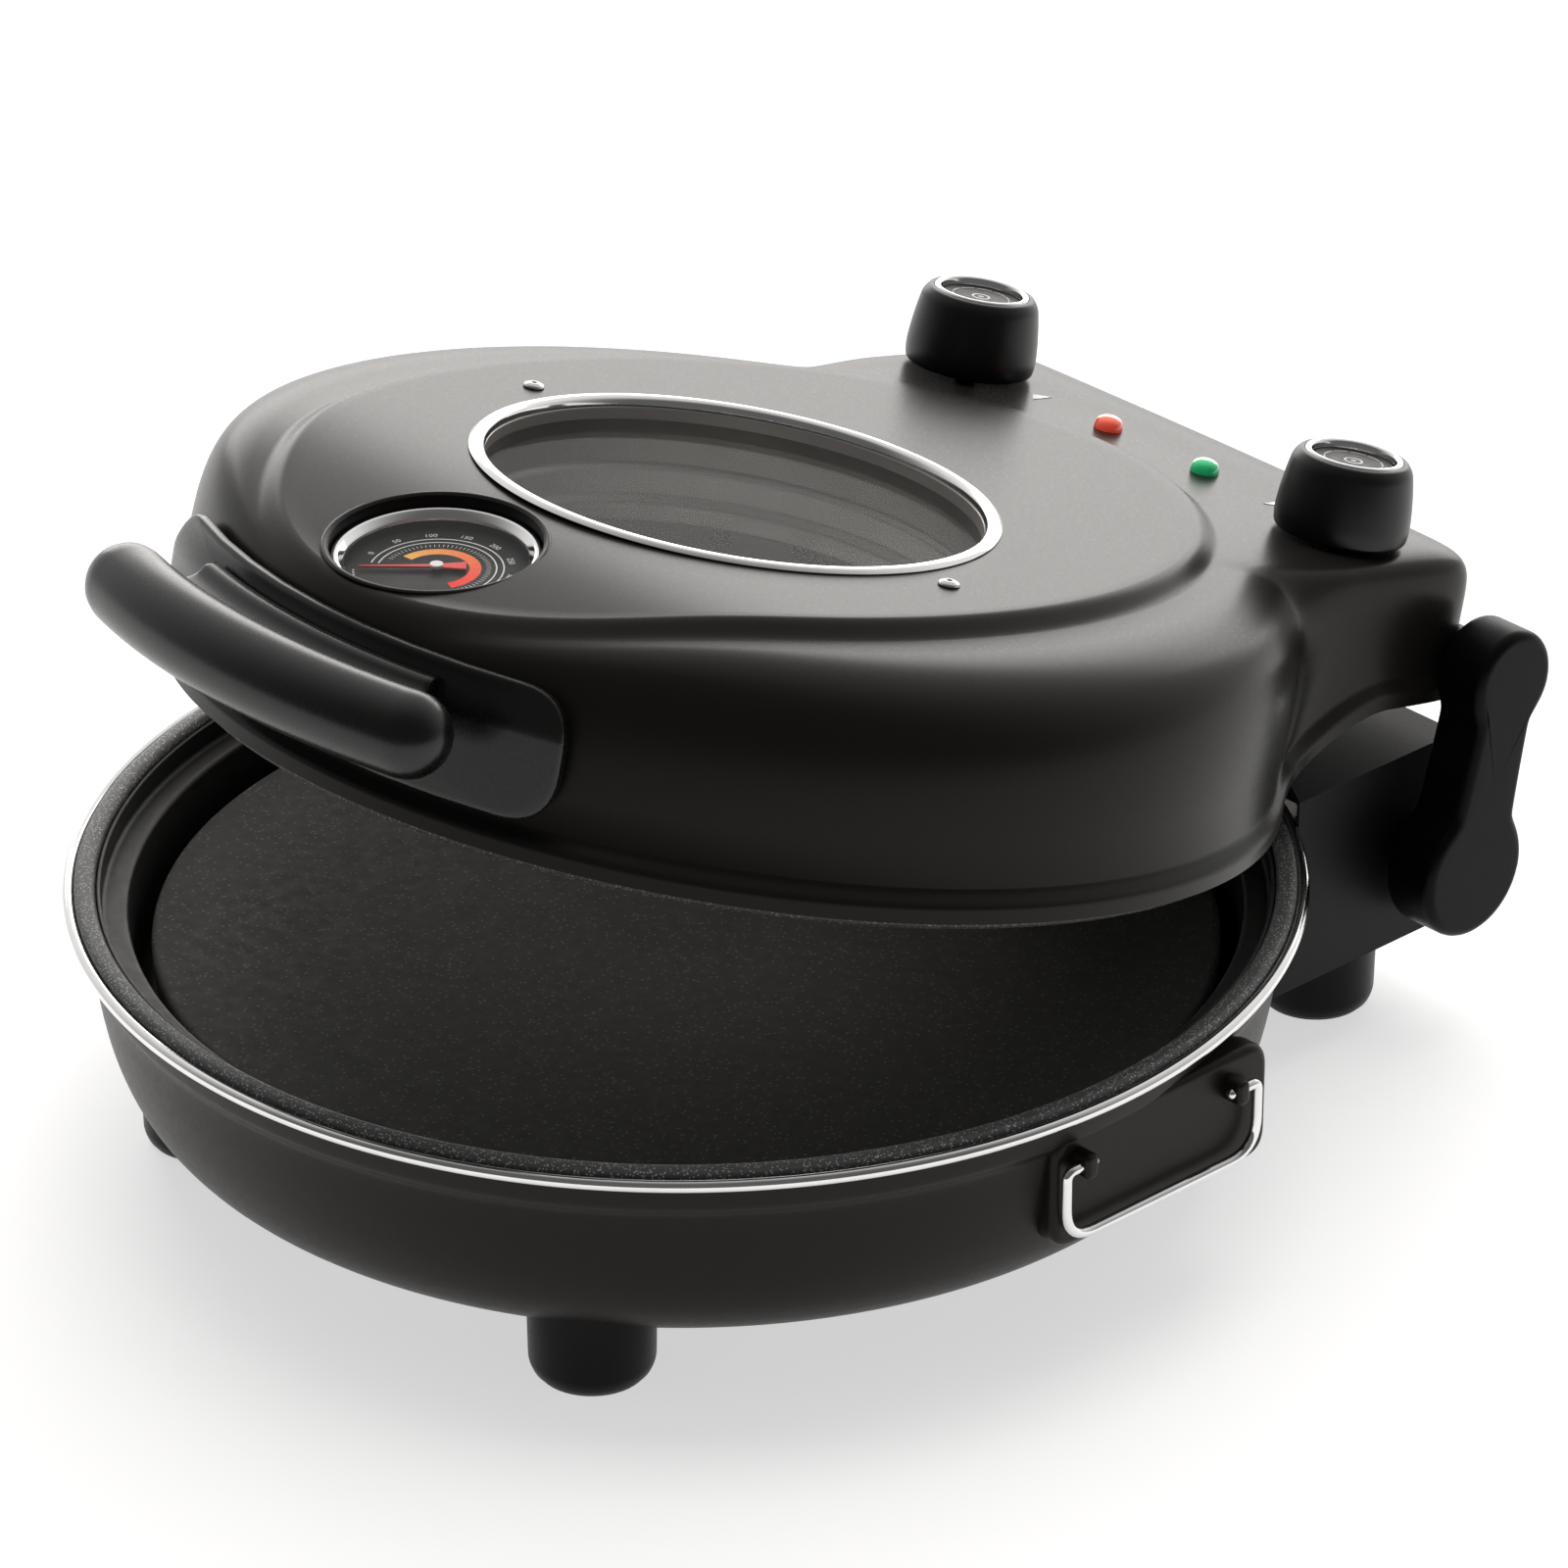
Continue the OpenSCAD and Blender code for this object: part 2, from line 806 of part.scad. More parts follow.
module right_bail() {
    color([0.8, 0.8, 0.8])
        on_base()
            bail();
}

module left_bail() {
    color([0.8, 0.8, 0.8])
        on_base()
            mirror([1, 0, 0])
                bail();
}

// ---------- hinge ----------

module hinge_pins() {
    color("silver")
        on_base()
            both_sides()
                translate([0, hinge_y, hinge_z]) {
                    rod_x(80, arm_in_x + 16, pin_r);
                    rod_x(78, 83.8, pin_head_r);
                }
}

// Wavy washers that press on the arms and hold the lid where it is put
module friction_washers() {
    color("silver")
        on_base()
            both_sides()
                translate([0, hinge_y, hinge_z])
                    difference() {
                        rod_x(housing_half_w + 0.05, arm_in_x - skin_gap, washer_r);
                        rod_x(90, 110, pin_r + fit_gap);
                    }
}

module hinge_bushes() {
    color([0.75, 0.6, 0.3])
        on_lid()
            both_sides()
                translate([0, hinge_y - lid_back, hinge_z])
                    difference() {
                        rod_x(arm_in_x, arm_in_x + 17, bush_r);
                        rod_x(90, 130, pin_r + fit_gap);
                    }
}

// Side arm: round ends joined by a waist, with an inward boss at the top
module hinge_arm() {
    waist = 12.5;
    translate([0, hinge_y - lid_back, hinge_z])
        difference() {
            union() {
                translate([arm_in_x, 0, 0])
                    rotate([90, 0, 90])
                        linear_extrude(arm_t) {
                            circle(arm_low_r);
                            translate([0, arm_len])
                                circle(arm_top_r);
                            translate([-waist, 0])
                                square([2 * waist, arm_len]);
                            polygon([[-17, 10], [17, 10], [waist, 26], [-waist, 26]]);
                        }
                translate([0, 0, arm_len])
                    rod_x(arm_boss_x, arm_in_x + 1, arm_boss_r);
            }
            rod_x(90, arm_in_x + 17, bush_r);
            translate([0, 0, arm_len])
                rod_x(80, arm_in_x + 12, 2);
        }
}

module right_hinge_arm() {
    color([0.03, 0.03, 0.03])
        on_lid()
            hinge_arm();
}

module left_hinge_arm() {
    color([0.03, 0.03, 0.03])
        on_lid()
            mirror([1, 0, 0])
                hinge_arm();
}

module arm_screws() {
    color("silver")
        on_lid()
            both_sides()
                translate([arm_boss_x - 0.05, hinge_y - lid_back, hinge_z + arm_len])
                    rotate([0, -90, 0])
                        screw(1.95, 21, 7);
}

// ---------- lid ----------

module lid_shell() {
    color([0.36, 0.35, 0.33])
        on_lid()
            difference() {
                lid_skin_solid();
                translate([0, gauge_y, gauge_z])
                    rotate([open_angle, 0, 0])
                        translate([0, 0, -40])
                            cylinder(r = gauge_r, h = 60);
                handle_screw_places()
                    translate([0, 0, 150])
                        cylinder(r = screw_r + 0.3, h = 20);
                both_sides() {
                    translate([knob_x, knob_y, lid_top_z - 20])
                        cylinder(r = shaft_r + 1.5, h = 40);
                    translate([lamp_x, lamp_y, lid_top_z - 20])
                        cylinder(r = lens_r + skin_gap, h = 40);
                    translate([rivet_x, window_y, lid_top_z - 20])
                        cylinder(r = 1.8, h = 40);
                    translate([0, hinge_y - lid_back, hinge_z + arm_len])
                        rod_x(80, 120, arm_boss_r + 0.2);
                }
            }
}

// Reflector that lines the lid, with the window's opening
module lid_liner() {
    color([0.75, 0.75, 0.75])
        on_lid()
            difference() {
                rotate_extrude()
                    polygon([
                        [150.5, lid_edge_z - 1], [151.5, lid_edge_z - 1], [149.5, liner_top_z - 8],
                        [142, liner_top_z + 1], [0, liner_top_z + 1], [0, liner_top_z],
                        [141.5, liner_top_z], [148.4, liner_top_z - 8.4]
                    ]);
                translate([0, window_y, 0])
                    cylinder(r = well_r + 1.6, h = 200);
                element_legs()
                    cylinder(r = element_r + 0.4, h = 200);
                translate([0, gauge_y, gauge_z])
                    rotate([open_angle, 0, 0])
                        translate([0, 0, -80])
                            cylinder(r = 3.3, h = 80);
            }
}

// Enamelled ring under the lid's edge, which comes down inside the bowl's seat
module lid_lip() {
    color([0.35, 0.35, 0.34])
        on_lid()
            rotate_extrude()
                polygon([
                    [151.8, lid_edge_z - 2.5], [156.6, lid_edge_z - 2.5], [157.6, lid_edge_z - 1.5],
                    [157.6, lid_edge_z + 3.5], [153, lid_edge_z + 6], [151.8, lid_edge_z + 6]
                ]);
}

module upper_heating_element() {
    color([0.25, 0.24, 0.23])
        on_lid()
            heating_element(element_upper_z, 18);
}

module upper_element_clips() {
    color("silver")
        on_lid()
            for (a = [200, 340, 150, 30])
                rotate([0, 0, a])
                    translate([element_ring_r, 0, liner_top_z])
                        mirror([0, 0, 1])
                            element_clip(liner_top_z - element_upper_z);
}

// Sheet that closes the console from below
module console_floor() {
    color([0.12, 0.12, 0.12])
        on_lid()
            translate([-arm_boss_x + 1, 160, lid_edge_z + console_rise + 3])
                cube([2 * arm_boss_x - 2, 37, 1.5]);
}

module at_window() {
    on_lid()
        translate([0, window_y, 0])
            children();
}

module window_ring() {
    color([0.88, 0.88, 0.88])
        at_window()
            rotate_extrude()
                polygon([
                    [70.4, lid_top_z - 1.2], [71.2, lid_top_z + 0.7], [72.6, lid_top_z + 1.6],
                    [74.6, lid_top_z + 1.5], [window_ring_r, lid_top_z + 0.1],
                    [71.7, lid_top_z + 0.1], [71.6, lid_top_z - 1.2]
                ]);
}

module window_well() {
    color([0.30, 0.30, 0.30])
        at_window()
            translate([0, 0, liner_top_z - 2]) {
                ring(well_r + 0.7, well_r - 0.5, lid_top_z - 1.3 - liner_top_z + 2);
                ring(well_r + 0.7, well_r - 4, 1.2);
            }
}

module window_glass() {
    color([0.2, 0.2, 0.2, 0.6])
        at_window()
            translate([0, 0, lid_top_z - 9])
                cylinder(r = well_r - 0.6, h = 4);
}

module inner_glass() {
    color([0.4, 0.4, 0.4, 0.4])
        at_window()
            translate([0, 0, liner_top_z - 0.8])
                cylinder(r = well_r - 0.6, h = 3);
}

module window_rivets() {
    color("silver")
        on_lid()
            both_sides()
                translate([rivet_x, window_y, lid_top_z + 0.05])
                    screw(1.7, 5, 3.2);
}

// ---------- gauge ----------

module gauge_cup() {
    color([0.05, 0.05, 0.05])
        on_gauge()
            translate([0, 0, -gauge_sink - 12])
                difference() {
                    cylinder(r = gauge_r - 0.3, h = 14);
                    translate([0, 0, 1.2])
                        cylinder(r = gauge_r - 1.3, h = 20);
                    translate([0, 0, -eps])
                        cylinder(r = 3.1, h = 5);
                }
}

module gauge_bezel() {
    color([0.85, 0.85, 0.85])
        on_gauge()
            translate([0, 0, -gauge_sink])
                rotate_extrude()
                    polygon([
                        [gauge_r - 1.5, -3], [gauge_r - 1.5, -0.6], [gauge_r - 2.3, 0],
                        [gauge_r - 4.2, -0.9], [gauge_r - 4.2, -3]
                    ]);
}

module gauge_dial() {
    color([0.06, 0.06, 0.06])
        on_gauge()
            translate([0, 0, -gauge_sink - 6])
                ring(gauge_r - 1.6, 1.2, 1);
}

// Stem of the thermometer, which reaches into the cooking space
module gauge_stem() {
    color("silver")
        on_gauge()
            translate([0, 0, -gauge_sink - stem_reach]) {
                cylinder(r = 3, h = stem_reach - 6.2);
                cylinder(r = 0.7, h = stem_reach - 3.4);
            }
}

module gauge_needle() {
    color([0.85, 0.1, 0.08])
        on_gauge()
            translate([0, 0, -gauge_sink - 4.4])
                difference() {
                    union() {
                        rotate([0, 0, -132.5])
                            linear_extrude(0.6)
                                polygon([[22, 0.25], [0, 1.4], [-8, 2.2], [-8, -2.2], [0, -1.4], [22, -0.25]]);
                        cylinder(r = 2.4, h = 0.9);
                    }
                    translate([0, 0, -eps])
                        cylinder(r = 0.75, h = 3);
                }
}

module gauge_glass() {
    color([0.8, 0.85, 0.85, 0.3])
        on_gauge()
            translate([0, 0, -gauge_sink - 2.4])
                cylinder(r = gauge_r - 4.3, h = 1);
}

// ---------- controls ----------

// Works under a knob: a box with a collar round the shaft
module control_works(depth) {
    difference() {
        union() {
            translate([-18, -18, knob_seat_z - 6 - depth])
                cube([36, 36, depth]);
            translate([0, 0, knob_seat_z - 6 - eps])
                cylinder(r = 4.3, h = 6);
        }
        translate([0, 0, knob_seat_z - 20])
            cylinder(r = shaft_r + fit_gap, h = 40);
    }
}

module timer() {
    color([0.7, 0.7, 0.65])
        on_lid()
            translate([-knob_x, knob_y, 0])
                control_works(30);
}

module thermostat() {
    color([0.75, 0.7, 0.6])
        on_lid()
            translate([knob_x, knob_y, 0])
                control_works(22);
}

knob_foot_z = knob_seat_z + 1;
knob_ring_r = 14.4;

// Hand knob: tapered body with a rounded shoulder and its shaft
module knob() {
    translate([0, 0, knob_foot_z])
        rotate_extrude()
            polygon([
                [0, -16], [shaft_r, -16], [shaft_r, 0], [knob_r - 3, 0], [knob_r - 0.8, 1],
                [knob_r, 4.5], [knob_r - 0.4, 9.5], [knob_r - 1.2, 14.5], [knob_r - 2.2, knob_h - 3.6],
                [knob_r - 3.6, knob_h - 1.2], [knob_ring_r, knob_h - 0.6], [knob_ring_r, knob_h - 4],
                [0, knob_h - 4]
            ]);
}

module knob_ring() {
    translate([0, 0, knob_foot_z + knob_h - 4])
        rotate_extrude()
            polygon([
                [knob_ring_r - 0.05, 0], [knob_ring_r - 0.05, 3.6], [knob_ring_r - 0.9, 4.2],
                [knob_ring_r - 2.2, 3.6], [knob_ring_r - 2.8, 0]
            ]);
}

module knob_dial() {
    translate([0, 0, knob_foot_z + knob_h - 4])
        cylinder(r = knob_ring_r - 2.85, h = 2);
}

module timer_knob() {
    color([0.05, 0.05, 0.05])
        on_lid()
            translate([-knob_x, knob_y, 0])
                knob();
}

module thermostat_knob() {
    color([0.05, 0.05, 0.05])
        on_lid()
            translate([knob_x, knob_y, 0])
                knob();
}

module timer_knob_ring() {
    color([0.85, 0.85, 0.85])
        on_lid()
            translate([-knob_x, knob_y, 0])
                knob_ring();
}

module thermostat_knob_ring() {
    color([0.85, 0.85, 0.85])
        on_lid()
            translate([knob_x, knob_y, 0])
                knob_ring();
}

module timer_knob_dial() {
    color([0.08, 0.08, 0.08])
        on_lid()
            translate([-knob_x, knob_y, 0])
                knob_dial();
}

module thermostat_knob_dial() {
    color([0.08, 0.08, 0.08])
        on_lid()
            translate([knob_x, knob_y, 0])
                knob_dial();
}

// Lamp lens: a low dome that rises out of its hole, on a short spigot
module lamp_lens() {
    translate([0, 0, lamp_seat_z])
        rotate_extrude()
            polygon([
                [0, -6], [3.2, -6], [3.2, -2.2], [lens_r, -2.2], [lens_r, 1],
                [lens_r - 0.4, 2.4], [lens_r - 1.3, 3.4], [lens_r - 2.7, 4], [0, 4.2]
            ]);
}

module red_lamp() {
    color([0.9, 0.1, 0.08])
        on_lid()
            translate([-lamp_x, lamp_y, 0])
                lamp_lens();
}

module green_lamp() {
    color([0.05, 0.7, 0.3])
        on_lid()
            translate([lamp_x, lamp_y, 0])
                lamp_lens();
}

module lamp_holders() {
    color([0.85, 0.85, 0.8])
        on_lid()
            both_sides()
                translate([lamp_x, lamp_y, lamp_seat_z - 16])
                    difference() {
                        cylinder(r = 6, h = 13.6);
                        translate([0, 0, 8])
                            cylinder(r = 3.3, h = 10);
                    }
}

// ---------- front handle ----------

// Curved backing plate with a thicker lower part
module handle_plate() {
    color([0.05, 0.05, 0.05])
        on_lid()
            difference() {
                rotate([0, 0, -90 - plate_half_angle])
                    rotate_extrude(angle = 2 * plate_half_angle)
                        polygon([
                            [plate_in_r, lid_edge_z + 11], [plate_out_r - 1.5, lid_edge_z + 11],
                            [plate_out_r, lid_edge_z + 13], [plate_out_r, lid_edge_z + 39],
                            [161.2, lid_edge_z + 46.5], [159.4, lid_edge_z + 48], [plate_in_r, lid_edge_z + 48]
                        ]);
                handle_screw_places()
                    translate([0, 0, 150])
                        cylinder(r = screw_r + 0.3, h = 20);
            }
}

// Places of the two screws that hold the handle, pointing outwards
module handle_screw_places() {
    for (a = [-11, 11])
        rotate([0, 0, a - 90])
            translate([0, 0, grip_z])
                rotate([0, 90, 0])
                    children();
}

// Round grip bent to the lid's curve, joined by a web to a flange on the plate
module handle_grip() {
    color([0.04, 0.04, 0.04])
        on_lid()
            difference() {
                translate([0, 0, grip_z]) {
                    rotate([0, 0, -90 - grip_half_angle])
                        rotate_extrude(angle = 2 * grip_half_angle)
                            translate([grip_reach, 0])
                                circle(grip_r);
                    for (a = [-grip_half_angle, grip_half_angle])
                        rotate([0, 0, a - 90])
                            translate([grip_reach, 0, 0])
                                sphere(grip_r);
                    rotate([0, 0, -90 - web_half_angle])
                        rotate_extrude(angle = 2 * web_half_angle)
                            polygon([
                                [plate_out_r, -15], [flange_r, -15], [flange_r, -web_half_t],
                                [grip_reach, -web_half_t], [grip_reach, web_half_t],
                                [flange_r, web_half_t + 1.4], [plate_out_r, web_half_t + 1.4]
                            ]);
                }
                handle_screw_places()
                    translate([0, 0, 150])
                        cylinder(r = screw_r, h = 30);
            }
}

// Screws from inside the lid, through its wall and the plate into the web
module handle_screws() {
    color("silver")
        on_lid()
            handle_screw_places()
                translate([0, 0, 154])
                    rotate([180, 0, 0])
                        screw(screw_r, 24, 4);
}

base_bowl();
bottom_cover();
cover_screws();
rim_ring();
seat_ring();
inner_pan();
baking_stone();
stone_supports();
lower_heating_element();
lower_element_clips();
rear_housing();
rear_cover();
rear_cover_screws();
power_inlet();
terminal_block();
feet();
foot_pads();
foot_screws();
bail_plates();
right_bail();
left_bail();
hinge_pins();
friction_washers();
hinge_bushes();
right_hinge_arm();
left_hinge_arm();
arm_screws();
lid_shell();
lid_liner();
lid_lip();
upper_heating_element();
upper_element_clips();
console_floor();
window_ring();
window_well();
window_glass();
inner_glass();
window_rivets();
gauge_cup();
gauge_bezel();
gauge_dial();
gauge_stem();
gauge_needle();
gauge_glass();
timer();
thermostat();
timer_knob();
thermostat_knob();
timer_knob_ring();
thermostat_knob_ring();
timer_knob_dial();
thermostat_knob_dial();
red_lamp();
green_lamp();
lamp_holders();
handle_plate();
handle_grip();
handle_screws();
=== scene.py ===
"""Looks of an electric pizza maker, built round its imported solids.

Lengths are in millimetres. Lid pieces are worked out in the frame of the closed lid,
whose origin lies on the table under the lid's axis, and then turned about the hinge
to the angle at which the lid stands.
"""

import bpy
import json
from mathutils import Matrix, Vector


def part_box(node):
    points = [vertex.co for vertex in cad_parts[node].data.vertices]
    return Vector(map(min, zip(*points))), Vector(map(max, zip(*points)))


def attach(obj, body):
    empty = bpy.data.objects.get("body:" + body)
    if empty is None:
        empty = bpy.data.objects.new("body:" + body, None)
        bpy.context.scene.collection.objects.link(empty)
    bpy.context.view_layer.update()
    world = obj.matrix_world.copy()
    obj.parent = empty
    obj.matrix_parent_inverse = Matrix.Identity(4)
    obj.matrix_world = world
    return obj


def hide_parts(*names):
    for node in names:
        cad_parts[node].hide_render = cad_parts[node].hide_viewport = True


bl_info = {
    "name": "Electric pizza maker",
    "version": (1, 0, 0),
    "blender": (4, 5, 0),
    "location": "View3D > Sidebar > Pizza Maker",
    "description": "Gives the packed pizza maker its smooth shells, trims, dials and finishes",
    "category": "Object",
}

import json
import math

import bmesh
import bpy
import numpy as np
from mathutils import Vector

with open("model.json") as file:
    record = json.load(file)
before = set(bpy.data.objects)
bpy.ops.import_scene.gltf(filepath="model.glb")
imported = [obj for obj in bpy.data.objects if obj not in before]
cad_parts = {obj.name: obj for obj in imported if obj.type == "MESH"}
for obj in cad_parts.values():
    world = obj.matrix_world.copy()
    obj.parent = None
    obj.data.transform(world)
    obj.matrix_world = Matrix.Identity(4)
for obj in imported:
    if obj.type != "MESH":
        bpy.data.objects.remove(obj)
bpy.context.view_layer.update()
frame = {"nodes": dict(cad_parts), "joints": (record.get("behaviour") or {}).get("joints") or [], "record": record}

SLOTS = {s["node"]: s["material_slot"] for s in frame["record"]["subparts"]}
MM = 0.001


# ---------- where things are, read from the frame ----------


def joint(name):
    """The record's joint of that name."""
    return next(j for j in frame["joints"] if j["name"] == name)


def middle(node):
    """Centre of a node's box, in millimetres."""
    low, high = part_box(node)
    return np.array((low + high) / 2) / MM


def extent(node):
    """Size of a node's box, in millimetres."""
    low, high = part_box(node)
    return np.array(high - low) / MM


HINGE = np.array(joint("lid_hinge")["pos_m"]) / MM
OPEN = math.radians(-joint("lid_hinge")["range_deg"][0])
BOWL_Y = middle("rim_ring")[1]
LID_BACK = 3.0
LID_Y = BOWL_Y + LID_BACK


def on_base(points):
    """Points about the bowl's axis, moved to where the bowl stands."""
    return points + np.array([0, BOWL_Y, 0])


def on_lid(points):
    """Points of the closed lid, turned about the hinge by the angle at which the lid stands."""
    y = points[..., 1] + LID_Y - HINGE[1]
    z = points[..., 2] - HINGE[2]
    turned_y = HINGE[1] + y * math.cos(OPEN) + z * math.sin(OPEN)
    turned_z = HINGE[2] - y * math.sin(OPEN) + z * math.cos(OPEN)
    return np.stack([points[..., 0], turned_y, turned_z], -1)


def lid_spot(x, y, z):
    """Where one point of the closed lid is."""
    return on_lid(np.array([x, y, z], float))


def at_lid(x, y, z=0.0):
    """A placing that moves points to a spot of the closed lid and then turns them with the lid."""
    return lambda points: on_lid(points + np.array([x, y, z]))


def level_at(spot):
    """A placing that only moves points, for pieces that lie level."""
    return lambda points: points + np.array(spot)


# ---------- shapes ----------


def rounded(corners, radius, closed=True, steps=6):
    """Outline through corners, where each corner is cut by a quadratic arc that starts
    a radius from it, or at half the side if that is shorter."""
    c = np.array(corners, float)
    to_last = np.roll(c, 1, 0) - c
    to_next = np.roll(c, -1, 0) - c
    len_last = np.linalg.norm(to_last, axis=1)
    len_next = np.linalg.norm(to_next, axis=1)
    reach = np.minimum(np.broadcast_to(radius, len(c)), 0.49 * np.minimum(len_last, len_next))
    if not closed:
        reach = reach * np.r_[0, np.ones(len(c) - 2), 0]
    start = c + to_last * (reach / len_last)[:, None]
    end = c + to_next * (reach / len_next)[:, None]
    t = np.linspace(0, 1, steps)[None, :, None]
    arc = (1 - t) ** 2 * start[:, None] + 2 * t * (1 - t) * c[:, None] + t**2 * end[:, None]
    return arc.reshape(-1, 2)


def skin(points, wrap_rows=False, wrap_cols=True):
    """Quads over a grid of points, joined end to end where a direction wraps."""
    rows, cols = points.shape[:2]
    index = np.arange(rows * cols).reshape(rows, cols)
    if wrap_rows:
        index = np.vstack([index, index[:1]])
    if wrap_cols:
        index = np.hstack([index, index[:, :1]])
    quads = np.stack([index[:-1, :-1], index[:-1, 1:], index[1:, 1:], index[1:, :-1]], -1)
    return points.reshape(-1, 3), quads.reshape(-1, 4)


def turned(profile, place, count=192):
    """A profile of radius and height turned round the Z axis: each point becomes a circle
    of that radius at that height. A profile that starts and ends on the axis is left open
    there, and any other is joined end to end."""
    profile = np.array(profile, float)
    angle = np.linspace(0, 2 * np.pi, count, endpoint=False)
    radius = profile[:, :1]
    points = np.stack(
        [radius * np.cos(angle), radius * np.sin(angle), profile[:, 1:] + 0 * angle], -1
    )
    on_axis = abs(profile[0, 0]) < 1e-6 and abs(profile[-1, 0]) < 1e-6
    return skin(place(points), wrap_rows=not on_axis)


def wire_profile(r, z, half_w, half_h, count):
    """Profile of a wire or bead: an ellipse about the point at radius r and height z."""
    turn = np.linspace(0, 2 * np.pi, count, endpoint=False)
    return np.stack([r + half_w * np.cos(turn), z + half_h * np.sin(turn)], -1)


def tube(path, radius, across, place, count=24):
    """A round section carried along a flat path: at each point a circle stands square to
    the path, with one axis along across, the normal of the path's plane. Both ends are
    closed by half a ball."""
    path = np.array(path, float)
    ahead = np.gradient(path, axis=0)
    ahead /= np.linalg.norm(ahead, axis=1)[:, None]
    bend = np.linspace(0, np.pi / 2, 7)
    first = path[:1] - ahead[:1] * radius * np.cos(bend)[:, None]
    last = path[-1:] + ahead[-1:] * radius * np.sin(bend)[:, None]
    centres = np.vstack([first, path[1:-1], last])
    directions = np.vstack([np.repeat(ahead[:1], 7, 0), ahead[1:-1], np.repeat(ahead[-1:], 7, 0)])
    size = radius * np.r_[np.sin(bend), np.ones(len(path) - 2), np.cos(bend)]
    across = np.broadcast_to(np.array(across, float), directions.shape)
    up = np.cross(directions, across)
    turn = np.linspace(0, 2 * np.pi, count, endpoint=False)[None, :, None]
    ring = np.cos(turn) * across[:, None] + np.sin(turn) * up[:, None]
    return skin(place(centres[:, None] + size[:, None, None] * ring))


def slab(outline, low, high, edge, place, rings=1, spans=1):
    """A flat outline given thickness: copies of the outline stand from low to high, pulled
    in along a quarter circle of radius edge beside both faces, and each face is closed by
    copies that shrink to the outline's centre."""
    outline = np.array(outline, float)
    along = np.roll(outline, -1, 0) - np.roll(outline, 1, 0)
    along /= np.linalg.norm(along, axis=1)[:, None] + 1e-12
    inward = np.stack([-along[:, 1], along[:, 0]], -1)
    centre = outline.mean(0)
    if np.sum(inward * (centre - outline)) < 0:
        inward = -inward
    turn = np.linspace(0, np.pi / 2, 6)
    pull = edge * (1 - np.sin(turn))
    rise = edge * (1 - np.cos(turn))
    levels = np.r_[low + rise, np.linspace(low + edge, high - edge, spans + 1)[1:-1], high - rise[::-1]]
    pulls = np.r_[pull, np.zeros(spans - 1), pull[::-1]]
    wall = outline[None] + pulls[:, None, None] * inward[None]
    shrink = np.linspace(0, 1, rings + 1)[:-1, None, None]
    bottom = centre + (wall[:1] - centre) * shrink
    top = centre + (wall[-1:] - centre) * shrink[::-1]
    flat = np.concatenate([bottom, wall, top])
    levels = np.r_[np.full(rings, low), levels, np.full(rings, high)]
    points = np.concatenate([flat, np.broadcast_to(levels[:, None, None], flat.shape[:2] + (1,))], -1)
    return skin(place(points))


def round_box(width, depth, radius):
    """Outline of a centred rectangle with round corners."""
    w, d = width / 2, depth / 2
    return rounded([(w, -d), (w, d), (-w, d), (-w, -d)], radius * 1.2, steps=10)


def swap(*axes):
    """A placing step that reorders coordinates, so that a slab can stand on edge."""
    return lambda points: points[..., list(axes)]


def on_side(side, x=0.0, y=0.0, z=0.0):
    """A placing step that mirrors a right-hand piece where side is -1, and then moves it."""
    return lambda points: points * np.array([side, 1, 1]) + np.array([x, y, z])


def then(*steps):
    """Placing steps carried out one after the other."""

    def place(points):
        for step in steps:
            points = step(points)
        return points

    return place


def add_piece(name, grids, body, finish, replaces=(), sharp=40, weighted=False):
    """Makes one object from grids of points, closes its seams and poles, turns its faces
    outwards, and sets it on its body with its finish."""
    verts, faces, start = [], [], 0
    for points, quads in grids:
        verts.append(points * MM)
        faces.append(quads + start)
        start += len(points)
    mesh = bpy.data.meshes.new(name)
    mesh.from_pydata(np.vstack(verts).tolist(), [], np.vstack(faces).tolist())
    bm = bmesh.new()
    bm.from_mesh(mesh)
    bmesh.ops.remove_doubles(bm, verts=bm.verts, dist=2e-6)
    bmesh.ops.recalc_face_normals(bm, faces=bm.faces)
    bm.to_mesh(mesh)
    bm.free()
    mesh.shade_smooth()
    mesh.set_sharp_from_angle(angle=math.radians(sharp))
    piece = bpy.data.objects.new(name, mesh)
    bpy.context.scene.collection.objects.link(piece)
    if weighted:
        piece.modifiers.new("even shading", "WEIGHTED_NORMAL").keep_sharp = True
    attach(piece, body)
    if replaces:
        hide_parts(*replaces)
    mesh.materials.append(FINISHES[finish]())
    return piece


def turned_piece(name, node, finish, profile, soft, place, count=256, body="lid", steps=6):
    """Makes one object in a node's stead from a profile with rounded corners. A profile that
    starts on the axis is taken as open there."""
    outline = rounded(profile, soft, closed=profile[0][0] > 0, steps=steps)
    return add_piece(name, [turned(outline, place, count)], body, finish, [node])


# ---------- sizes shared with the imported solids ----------

RIM_R = 175.0
RIM_Z = 80.0
RIM_WIRE_R = 1.8
BOWL_BOTTOM_Z = 18.5
BOWL_SHEET = 1.6
BAIL_PIVOT_Z = 64.0
KNOB_FOOT_LIFT = 1.0
ARM_INNER_X = 104.0
ARM_T = 18.0
NEEDLE_ANGLE = math.radians(-132.5)


# ---------- lid surface ----------

